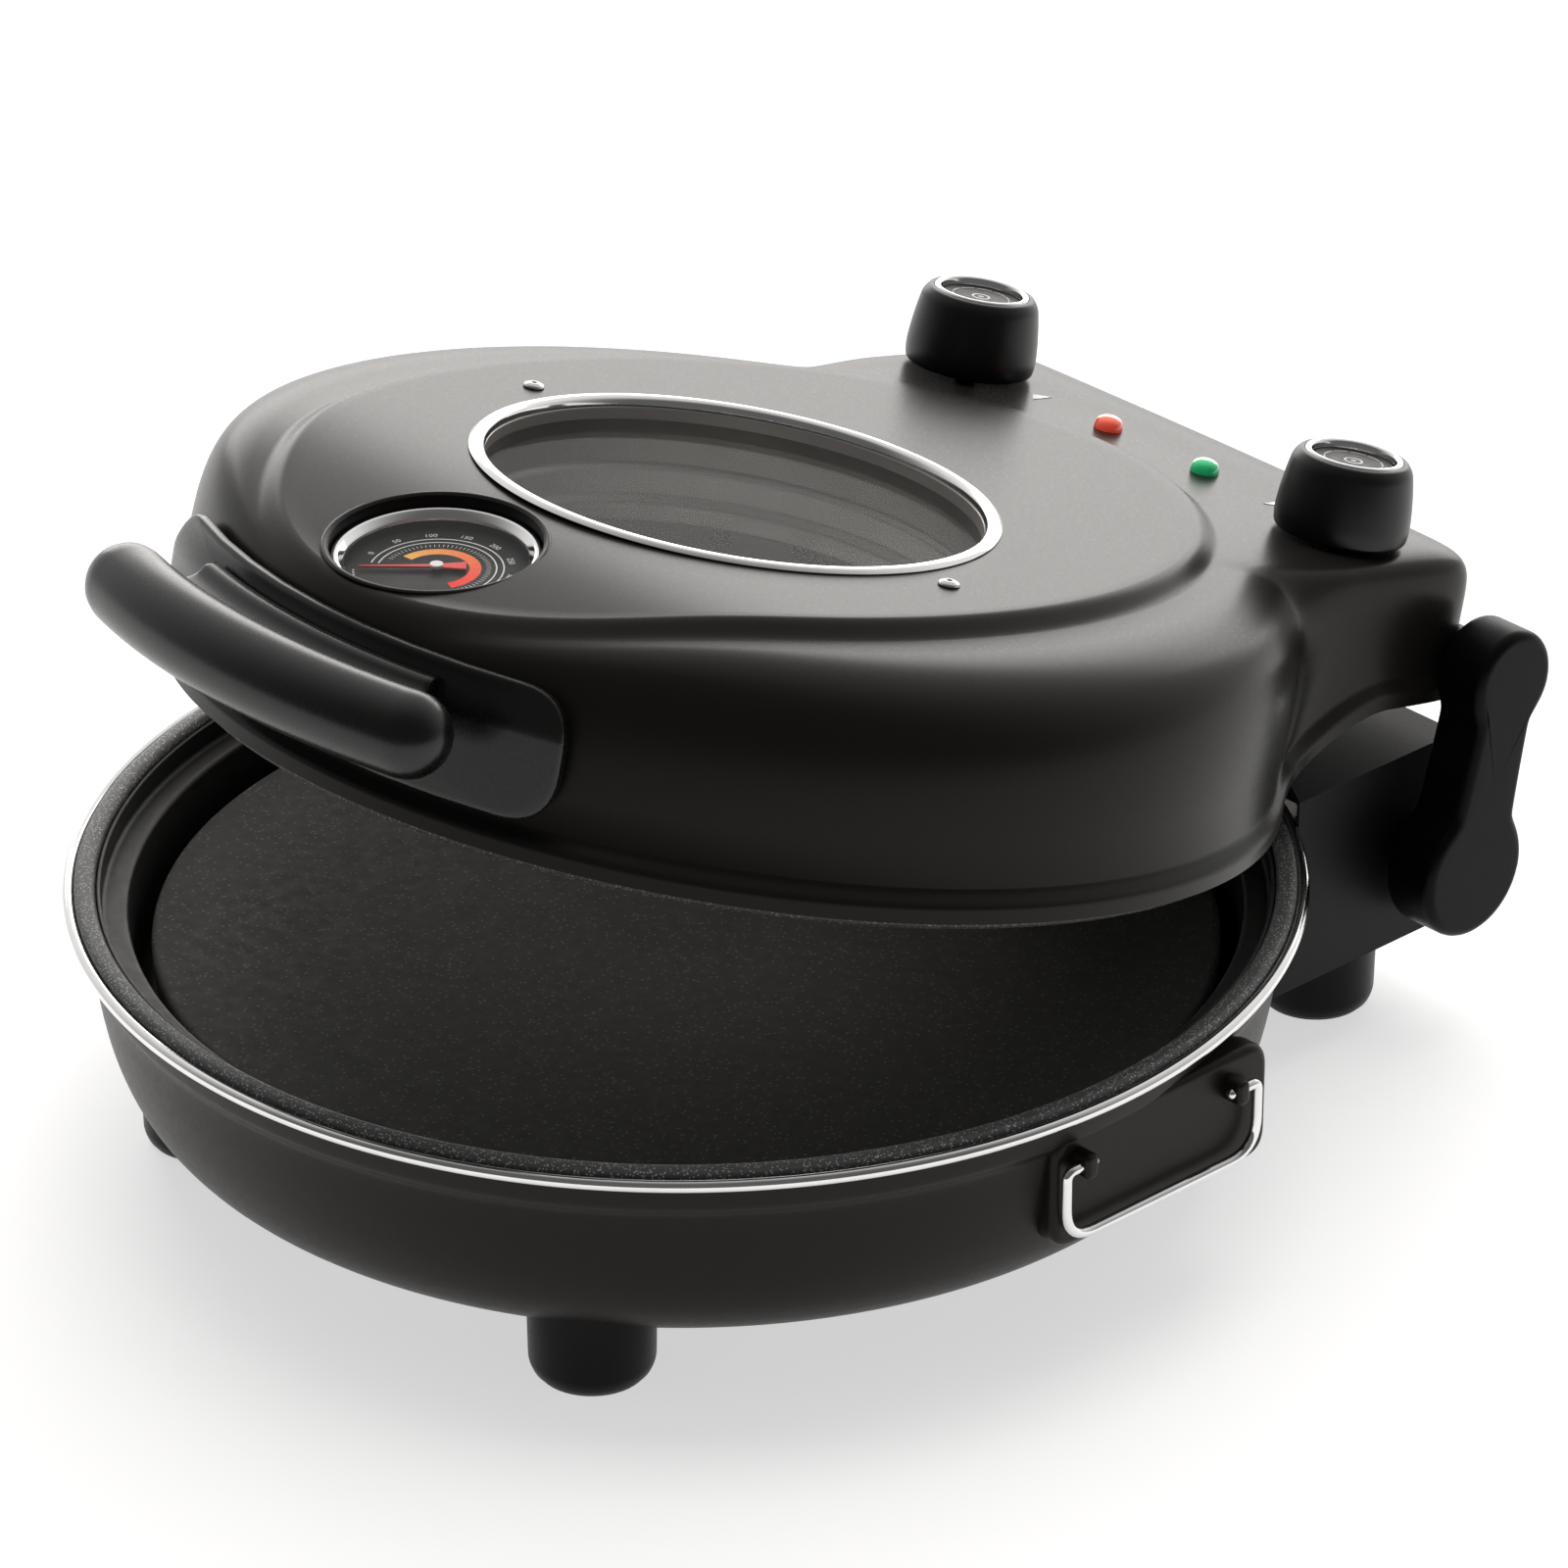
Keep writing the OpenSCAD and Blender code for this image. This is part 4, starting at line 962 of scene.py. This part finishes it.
class PIZZA_OT_bails(PieceOperator, bpy.types.Operator):
    """Two bent wire bails: a round section carried along a path with rounded corners"""

    bl_idname = "pizza.bails"
    bl_label = "Bail handles"

    def build(self):
        hinge_x, hinge_y = np.array(joint("right_bail_hinge")["pos_m"][:2]) / MM
        hinge_x = abs(hinge_x)
        wire_r = 1.5
        top, bar, half, stub = BAIL_PIVOT_Z, 42.5, 36.5, 26.5
        corners = [(stub, top), (half, top), (half, bar), (-half, bar), (-half, top), (-stub, top)]
        route = rounded(corners, (0, 2.6, 11, 11, 2.6, 0), closed=False, steps=10)
        moved_on = np.linalg.norm(np.diff(route, axis=0), axis=1) > 1e-3
        route = route[np.r_[True, moved_on]]
        for side, name in ((1, "right"), (-1, "left")):
            x = np.full(len(route), side * hinge_x)
            path = np.column_stack([x, hinge_y + route[:, 0], route[:, 1]])
            grid = tube(path, wire_r, (1, 0, 0), level_at((0, 0, 0)))
            add_piece(f"{name}_bail_wire", [grid], f"{name}_bail", "chrome_wire", [f"{name}_bail"])


class PIZZA_OT_lid(PieceOperator, bpy.types.Operator):
    """Lid shell: reach and height as functions of direction and of the row from window to lip"""

    bl_idname = "pizza.lid"
    bl_label = "Lid shell"

    def build(self):
        a = even_directions(480)
        skin_grid = np.concatenate([lid_side(a, 0.0), lid_side(a, SKIN)[::-1]])
        shell = skin(on_lid(skin_grid), wrap_rows=True)
        lid = add_piece("lid_dome", [shell], "lid", "lid_paint", ["lid_shell"], sharp=50)
        gauge_hole = [(0, -40), (GAUGE_R, -40), (GAUGE_R, 20), (0, 20)]
        drills = [turned(gauge_hole, level_at(GAUGE_SPOT), 128)]
        shaft_r = 4.5
        shaft_hole = [(0, -20), (shaft_r, -20), (shaft_r, 20), (0, 20)]
        for side in (1, -1):
            spot = at_lid(side * KNOB_SPOT[0], KNOB_SPOT[1], LID_TOP_Z)
            drills.append(turned(shaft_hole, spot, 48))
        self.cut(lid, drills)

    @staticmethod
    def cut(lid, grids):
        """Takes the drill's solids out of the lid, and keeps the result as its mesh."""
        drill = add_piece("drill", grids, "lid", "lid_paint")
        hole = lid.modifiers.new("holes", "BOOLEAN")
        hole.operation, hole.object, hole.solver = "DIFFERENCE", drill, "EXACT"
        bpy.context.view_layer.update()
        evaluated = lid.evaluated_get(bpy.context.evaluated_depsgraph_get())
        cut = bpy.data.meshes.new_from_object(evaluated)
        lid.modifiers.clear()
        lid.data = cut
        bpy.data.objects.remove(drill)
        if not cut.vertices:
            raise RuntimeError("the lid's holes could not be cut")
        cut.shade_smooth()
        cut.set_sharp_from_angle(angle=math.radians(50))


class PIZZA_OT_window(PieceOperator, bpy.types.Operator):
    """Window: chrome ring, stepped inner wall and two domed rivets"""

    bl_idname = "pizza.window"
    bl_label = "Window"

    def build(self):
        place = at_lid(0, WINDOW_Y)
        top, low = LID_TOP_Z, 116.0
        outer, well_r = 75.5, 71.7
        inner = outer - sizes().window_ring_w
        ring = [
            (inner, top - 1.2), (inner + 0.5, top + 0.8), (inner + 1.8, top + 1.6),
            (outer - 1.3, top + 1.5), (outer, top + 0.3), (outer - 0.4, top + 0.05),
            (well_r + 0.6, top + 0.05), (well_r, top - 1.2),
        ]
        turned_piece("window_trim", "window_ring", "chrome_trim", ring, 0.6, place)
        wall = [
            (well_r, low), (well_r, top - 1.3), (70.5, top - 1.3), (70.5, 133), (69.2, 131.5),
            (69.2, 124), (67.2, 122), (67.2, low),
        ]
        turned_piece("window_wall", "window_well", "well_steel", wall, 0.8, place)
        self.rivets()

    @staticmethod
    def rivets():
        """A domed rivet with a small hollow at its middle on each side of the window."""
        dome = [
            (0, -2), (1.7, -2), (1.7, 0.05), (3.2, 0.05), (2.9, 0.9), (1.5, 1.5), (0.9, 1.45),
            (0.7, 0.9), (0, 0.9),
        ]
        dome = rounded(dome, 0.5, closed=False)
        spots = [at_lid(side * RIVET_X, WINDOW_Y, LID_TOP_Z) for side in (1, -1)]
        add_piece("rivets", [turned(dome, spot, 48) for spot in spots], "lid", "screws", ["window_rivets"])


class PIZZA_OT_gauge(PieceOperator, bpy.types.Operator):
    """Gauge: rolled lip, black cup, wide bright bezel, printed dial with numbers, and needle"""

    bl_idname = "pizza.gauge"
    bl_label = "Gauge"

    def build(self):
        place = level_at(GAUGE_SPOT)
        lip_r, lip_z, lip_half_w, lip_half_h = GAUGE_R + 0.3, -0.65, 0.9, 0.7
        lip = wire_profile(lip_r, lip_z, lip_half_w, lip_half_h, 16)
        add_piece("gauge_lip", [turned(lip, place, 192)], "lid", "lid_paint")
        outer, inner, floor_z = GAUGE_R - 0.3, GAUGE_R - 0.9, -14.3
        cup = [
            (outer, -15.5), (outer, -0.4), (inner, -0.4), (inner, floor_z), (3.1, floor_z),
            (3.1, -15.5),
        ]
        turned_piece("gauge_bowl", "gauge_cup", "gauge_black", cup, 0.3, place, 192)
        bezel = [
            (GAUGE_R - 1.2, -6.5), (GAUGE_R - 1.2, -4.2), (GAUGE_R - 2.0, -3.3),
            (GAUGE_R - 3.2, -3.3), (GAUGE_R - 5.2, -5.4), (GAUGE_R - 5.2, -6.5),
        ]
        turned_piece("gauge_rim", "gauge_bezel", "chrome_trim", bezel, 0.7, place, 192)
        face_r, face_z = GAUGE_R - 1.6, -8.5
        face = [(0, face_z - 1), (face_r, face_z - 1), (face_r, face_z), (0, face_z)]
        turned_piece("gauge_plate", "gauge_dial", "gauge_face", face, 0.1, place, 128)
        self.numbers(face_z)
        self.needle(face_z + 0.6)

    @staticmethod
    def needle(height):
        """A thin pointer with a broad tail, and a round pale hub."""
        forward = np.array([math.cos(NEEDLE_ANGLE), math.sin(NEEDLE_ANGLE)])
        side = np.array([-forward[1], forward[0]])
        place = level_at(GAUGE_SPOT + np.array([0, 0, height]))
        reach, tail_reach, blade_t = 21, 8, 0.5
        tip = [
            reach * forward + 0.25 * side, 0.8 * side, -0.8 * side, reach * forward - 0.25 * side,
        ]
        tail = [
            0.9 * side, -0.9 * side, -tail_reach * forward - 2.2 * side,
            -tail_reach * forward + 2.2 * side,
        ]
        grids = [slab(shape, 0, blade_t, 0.05, place) for shape in (tip, tail)]
        add_piece("needle_blade", grids, "gauge_needle", "needle_red", ["gauge_needle"])
        hub = rounded([(0, 0), (1.9, 0), (1.9, 1.1), (0, 1.1)], 0.3, closed=False)
        piece = add_piece("needle_hub", [turned(hub, place, 48)], "gauge_needle", "needle_red")
        piece.data.materials[0] = needle_white()

    @staticmethod
    def numbers(height):
        """Plain numbers round the dial, each a flat text outline with its foot to the centre."""
        radius, first, last = 20.4, 199.5, -22.5
        values = range(0, 401, 50)
        lift, ink_t = 0.02, 0.08
        joined = bmesh.new()
        for i, value in enumerate(values):
            angle = math.radians(first + (last - first) * i / (len(values) - 1))
            curve = bpy.data.curves.new("number", "FONT")
            curve.body = str(value)
            curve.size = sizes().number_size
            curve.align_x, curve.align_y = "CENTER", "CENTER"
            curve.resolution_u = 3
            text = bpy.data.objects.new("number", curve)
            flat = bpy.data.meshes.new_from_object(text)
            points = np.array([v.co[:2] for v in flat.vertices])
            outward = np.array([math.cos(angle), math.sin(angle)])
            across = np.array([outward[1], -outward[0]])
            on_dial = points @ np.array([across, outward]) + radius * outward
            spots = np.column_stack([on_dial, np.full(len(points), height + lift)]) + GAUGE_SPOT
            flat.vertices.foreach_set("co", (spots * MM).astype(np.float32).ravel())
            joined.from_mesh(flat)
            bpy.data.objects.remove(text)
            bpy.data.curves.remove(curve)
            bpy.data.meshes.remove(flat)
        bmesh.ops.solidify(joined, geom=joined.faces, thickness=ink_t * MM)
        bmesh.ops.recalc_face_normals(joined, faces=joined.faces)
        mesh = bpy.data.meshes.new("gauge_numbers")
        joined.to_mesh(mesh)
        joined.free()
        mesh.materials.append(mark_white())
        piece = bpy.data.objects.new("gauge_numbers", mesh)
        bpy.context.scene.collection.objects.link(piece)
        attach(piece, "lid")


class PIZZA_OT_controls(PieceOperator, bpy.types.Operator):
    """Knobs with chrome rings and dark inserts, lamp lenses and printed pointer marks"""

    bl_idname = "pizza.controls"
    bl_label = "Knobs, lamps and marks"

    def build(self):
        self.knobs()
        self.lenses()
        self.marks()

    @staticmethod
    def knobs():
        """Each knob is a tapered grip on a short shaft, with a rim of chrome round its dial."""
        seat = lid_z(*KNOB_SPOT) + KNOB_FOOT_LIFT
        dial_z = 20
        body = [
            (0, -16), (3, -16), (3, 0), (17.2, 0), (19.3, 0.6), (19.8, 4.5), (19.4, 10),
            (18.6, 16), (17.6, 21.2), (15.8, 23.5), (14.4, 23.6), (14.4, dial_z), (0, dial_z),
        ]
        soft = (0, 0.1, 0.1, 0.5, 1.0, 3.0, 4.0, 3.0, 1.6, 0.8, 0.3, 0.1, 0)
        ring = [(14.35, dial_z), (14.35, 23.7), (13.6, 24.3), (12.4, 23.8), (11.7, dial_z)]
        face = [(0, dial_z), (11.65, dial_z), (11.65, 21.9), (0, 21.9)]
        for side, name in ((-1, "timer"), (1, "thermostat")):
            place = at_lid(side * KNOB_SPOT[0], KNOB_SPOT[1], seat)
            knob = f"{name}_knob"
            turned_piece(f"{name}_grip", knob, "knob_plastic", body, soft, place, 128, body=knob)
            turned_piece(
                f"{name}_trim", f"{knob}_ring", "chrome_trim", ring, 0.5, place, 128, body=knob
            )
            turned_piece(
                f"{name}_insert", f"{knob}_dial", "knob_face", face, 0.15, place, 96, body=knob
            )

    @staticmethod
    def lenses():
        """A low dome on a narrower stem for each lamp."""
        dome = [
            (0, -6), (3.2, -6), (3.2, -2.2), (4.4, -2.2), (4.4, 0.9), (3.8, 2.8), (2.2, 3.8),
            (0, 4.1),
        ]
        soft = (0, 0.1, 0.1, 0.1, 1.2, 1.0, 1.0, 0)
        for side, name in ((-1, "red"), (1, "green")):
            spot = at_lid(side * LAMP_SPOT[0], LAMP_SPOT[1], lid_z(*LAMP_SPOT))
            lens = f"{name}_lens"
            turned_piece(lens, f"{name}_lamp", lens, dome, soft, spot, 64)

    @staticmethod
    def marks():
        """A printed triangle beside each knob, on the console's top and pointing at the knob."""
        half = sizes().mark_size / 2
        from_knob, y = 25.0, KNOB_SPOT[1] + 3.0
        sunk, ink_t = 0.1, 0.22
        grids = []
        for side in (-1, 1):
            tip = side * (KNOB_SPOT[0] - from_knob)
            shape = [(tip, y), (tip - side * half, y + half), (tip - side * half, y - half)]
            place = at_lid(0, 0, lid_z(tip, y) - sunk)
            grids.append(slab(shape, 0, ink_t, 0.03, place))
        piece = add_piece("pointer_marks", grids, "lid", "lid_paint")
        piece.data.materials[0] = mark_white()


class PIZZA_OT_handle(PieceOperator, bpy.types.Operator):
    """Front handle: a curved plate with a sloped upper band, and a round grip on a flaring web"""

    bl_idname = "pizza.handle"
    bl_label = "Front handle"

    def build(self):
        inner, outer = 157.3, 163.4
        low, high = 93.0, 130.0
        half = math.radians(30) * outer

        def bend(points):
            """Bends a flat plate of arc length, height and depth round the lid's axis, and
            thins its upper band towards the upper edge."""
            s, z, depth = points[..., 0], points[..., 1], points[..., 2]
            slope = ease((z - (high - 13)) / 13)
            r = inner + (depth - inner) * (1 - 0.42 * slope)
            a = s / outer - np.pi / 2
            return np.stack([r * np.cos(a), r * np.sin(a), z], -1)

        shape = round_box(2 * half, high - low, 13)
        shape = shape + np.array([0, (low + high) / 2])
        sides = zip(shape, np.roll(shape, -1, 0))
        dense = np.vstack([np.linspace(p, q, 8, endpoint=False) for p, q in sides])
        plate = slab(dense, inner, outer, 1.6, then(bend, on_lid), rings=24)
        add_piece("back_plate", [plate], "lid", "handle_plastic", ["handle_plate"])

        grip_r, reach, grip_z = 11.9, 185.0, 116.0
        arc = np.radians(np.linspace(-18.5, 18.5, 61)) - np.pi / 2
        path = np.column_stack([reach * np.cos(arc), reach * np.sin(arc), np.full(61, grip_z)])
        grip = tube(path, grip_r, (0, 0, 1), on_lid, count=64)
        section = [
            (outer - 0.4, 100), (166, 100), (167.5, 109), (172, 111.5), (185, 111.5), (185, 120.6),
            (174, 120.6), (168.6, 122.4), (166.4, 125.5), (outer - 0.4, 125.5),
        ]
        section = rounded(section, (0.1, 1.2, 3, 3, 0.1, 0.1, 4, 3, 1.6, 0.1), steps=7)
        web_half = 16.5

        def sweep(points):
            """Carries a section of radius and height through an arc measured in degrees."""
            r, z, a = points[..., 0], points[..., 1], np.radians(points[..., 2]) - np.pi / 2
            return np.stack([r * np.cos(a), r * np.sin(a), z], -1)

        web = slab(section, -web_half, web_half, 0.6, then(sweep, on_lid), spans=48)
        add_piece("grip_and_web", [grip, web], "lid", "handle_plastic", ["handle_grip"])


class PIZZA_OT_arms(PieceOperator, bpy.types.Operator):
    """Hinge arms: a lower circle, an upper circle and a waist, blended into one flat outline"""

    bl_idname = "pizza.arms"
    bl_label = "Hinge arms"

    def build(self):
        length, low_r, top_r = 59.2, 20.0, 15.5
        count = 121
        middle_z = (length + top_r - low_r) / 2
        span = (length + top_r + low_r) / 2
        z = middle_z - span * np.cos(np.linspace(0, np.pi, count))
        lower = np.sqrt(np.clip(low_r**2 - z**2, 0, None))
        upper = np.sqrt(np.clip(top_r**2 - (z - length) ** 2, 0, None))
        t = np.clip(z / length, 0, 1)
        waist = (11.0 + 3.0 * (1 - t) ** 2) * np.where((z > 0) & (z < length), 1, 0)
        half = (lower**9 + upper**9 + waist**9) ** (1 / 9)
        half[[0, -1]] = 0.02
        outline = np.vstack([np.column_stack([half, z]), np.column_stack([-half, z])[::-1][1:-1]])
        y = HINGE[1] - LID_Y
        boss = rounded([(0, 90), (9, 90), (9, 106), (0, 106)], 0.6, closed=False)
        for side, name in ((1, "right"), (-1, "left")):
            sideways = then(swap(2, 0, 1), on_side(side))
            at_hinge = then(sideways, at_lid(0, y, HINGE[2]))
            at_top = then(sideways, at_lid(0, y, HINGE[2] + length))
            face_x = ARM_INNER_X + ARM_T
            grids = [
                slab(outline, ARM_INNER_X, face_x, 3.0, at_hinge, rings=2), turned(boss, at_top, 64),
            ]
            add_piece(f"{name}_arm", grids, "lid", "arm_plastic", [f"{name}_hinge_arm"], weighted=True)


class PIZZA_OT_finishes(PieceOperator, bpy.types.Operator):
    """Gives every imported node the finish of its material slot"""

    bl_idname = "pizza.finishes"
    bl_label = "Finishes"

    def build(self):
        for name, node in frame["nodes"].items():
            finish = FINISHES[SLOTS[name]]()
            node.data.materials.clear()
            node.data.materials.append(finish)


class PIZZA_OT_studio(PieceOperator, bpy.types.Operator):
    """Pale floor, white surroundings, soft lamps and the camera"""

    bl_idname = "pizza.studio"
    bl_label = "Studio"

    def build(self):
        self.floor()
        self.surroundings()
        power = sizes().lamp_power
        self.lamp(
            "softbox", spot=(-1.25, 1.42, 0.56), aim=(0, 0, 0.16), size=(2.6, 0.96), power=21 * power,
        )
        overhead = self.lamp(
            "overhead", spot=(-0.5, 0.5, 2.2), aim=(0, 0, 0.1), size=(2.2, 2.2), power=46 * power,
        )
        overhead.visible_glossy = False
        self.camera()
        bpy.context.scene.view_settings.view_transform = "Standard"

    @staticmethod
    def whiter(material, amount):
        """Adds an even white to what the camera, gloss and glass see of a surface, so that it
        comes out white and still keeps a shadow. It casts no light."""
        nodes, links = material.node_tree.nodes, material.node_tree.links
        path = nodes.new("ShaderNodeLightPath")
        seen = path.outputs["Is Camera Ray"]
        for kind in ("Is Glossy Ray", "Is Transmission Ray"):
            either = nodes.new("ShaderNodeMath")
            either.operation = "MAXIMUM"
            links.new(seen, either.inputs[0])
            links.new(path.outputs[kind], either.inputs[1])
            seen = either.outputs[0]
        level = nodes.new("ShaderNodeMath")
        level.operation = "MULTIPLY"
        level.inputs[1].default_value = amount
        links.new(seen, level.inputs[0])
        shader = nodes["Principled BSDF"]
        shader.inputs["Emission Color"].default_value = (1, 1, 1, 1)
        links.new(level.outputs[0], shader.inputs["Emission Strength"])

    def floor(self):
        """A wide level square at the feet's height."""
        half = 6.0
        corners = [(-half, -half, 0), (half, -half, 0), (half, half, 0), (-half, half, 0)]
        mesh = bpy.data.meshes.new("floor")
        mesh.from_pydata(corners, [], [(0, 1, 2, 3)])
        made = surface(
            "floor", (0.54, 0.54, 0.54), (0.53, 0.53, 0.53), rough=(0.8, 0.9), grain=3, bump=0.0,
            Specular_IOR_Level=0.0,
        )
        self.whiter(made, 0.6)
        mesh.materials.append(made)
        floor = bpy.data.objects.new("floor", mesh)
        bpy.context.scene.collection.objects.link(floor)

    @staticmethod
    def surroundings():
        """A plain studio: pale at the back left, and darker towards the camera's side."""
        world = bpy.data.worlds.new("surroundings")
        bpy.context.scene.world = world
        world.use_nodes = True
        nodes, links = world.node_tree.nodes, world.node_tree.links
        coords = nodes.new("ShaderNodeTexCoord")
        towards = nodes.new("ShaderNodeVectorMath")
        towards.operation = "DOT_PRODUCT"
        towards.inputs[1].default_value = (-0.66, 0.75, 0.0)
        links.new(coords.outputs["Generated"], towards.inputs[0])
        level = nodes.new("ShaderNodeMapRange")
        level.interpolation_type = "SMOOTHSTEP"
        level.inputs["From Min"].default_value = -0.5
        level.inputs["From Max"].default_value = 0.9
        level.inputs["To Min"].default_value = 0.12
        level.inputs["To Max"].default_value = 0.95
        links.new(towards.outputs["Value"], level.inputs["Value"])
        nodes["Background"].inputs["Color"].default_value = (1, 1, 1, 1)
        links.new(level.outputs["Result"], nodes["Background"].inputs["Strength"])

    @staticmethod
    def lamp(name, spot, aim, size, power):
        """A rectangular area lamp that stands at a spot and points at another."""
        light = bpy.data.lights.new(name, "AREA")
        light.shape = "RECTANGLE"
        light.size, light.size_y = size
        light.energy = power
        light.color = (1.0, 0.97, 0.935)
        lamp = bpy.data.objects.new(name, light)
        lamp.location = spot
        lamp.rotation_euler = (Vector(aim) - Vector(spot)).to_track_quat("-Z", "Y").to_euler()
        bpy.context.scene.collection.objects.link(lamp)
        return lamp

    @staticmethod
    def camera():
        """Looks down on the front right side from the height at which the photo was taken."""
        turn, rise = math.radians(47.5), math.radians(27.95)
        data = bpy.data.cameras.new("camera")
        data.lens = 180
        data.sensor_width = 36
        data.clip_end = 50
        camera = bpy.data.objects.new("camera", data)
        camera.location = (1.4597, -1.2999 + BOWL_Y * MM, 1.1445)
        camera.rotation_euler = (math.pi / 2 - rise, 0, turn)
        bpy.context.scene.collection.objects.link(camera)
        bpy.context.scene.camera = camera


OPERATORS = (
    PIZZA_OT_finishes, PIZZA_OT_bowl, PIZZA_OT_rims, PIZZA_OT_feet, PIZZA_OT_bails, PIZZA_OT_lid,
    PIZZA_OT_window, PIZZA_OT_gauge, PIZZA_OT_controls, PIZZA_OT_handle, PIZZA_OT_arms, PIZZA_OT_studio,
)


class PIZZA_PT_panel(bpy.types.Panel):
    """Lists the colours, the sizes and a button for each group of pieces"""

    bl_idname = "PIZZA_PT_panel"
    bl_label = "Pizza maker"
    bl_space_type = "VIEW_3D"
    bl_region_type = "UI"
    bl_category = "Pizza Maker"

    def draw(self, context):
        for group in (context.scene.pizza_maker_colours, context.scene.pizza_maker_sizes):
            for key in group.bl_rna.properties.keys():
                if key not in ("rna_type", "name"):
                    self.layout.prop(group, key)
        for operator in OPERATORS:
            self.layout.operator(operator.bl_idname)


CLASSES = (PizzaMakerColours, PizzaMakerSizes, *OPERATORS, PIZZA_PT_panel)


def register():
    for cls in CLASSES:
        bpy.utils.register_class(cls)
    bpy.types.Scene.pizza_maker_colours = bpy.props.PointerProperty(type=PizzaMakerColours)
    bpy.types.Scene.pizza_maker_sizes = bpy.props.PointerProperty(type=PizzaMakerSizes)


def unregister():
    del bpy.types.Scene.pizza_maker_sizes
    del bpy.types.Scene.pizza_maker_colours
    for cls in reversed(CLASSES):
        bpy.utils.unregister_class(cls)


def main():
    """Builds everything."""
    register()
    for operator in OPERATORS:
        group, name = operator.bl_idname.split(".")
        getattr(getattr(bpy.ops, group), name)()


if __name__ == "__main__":
    main()
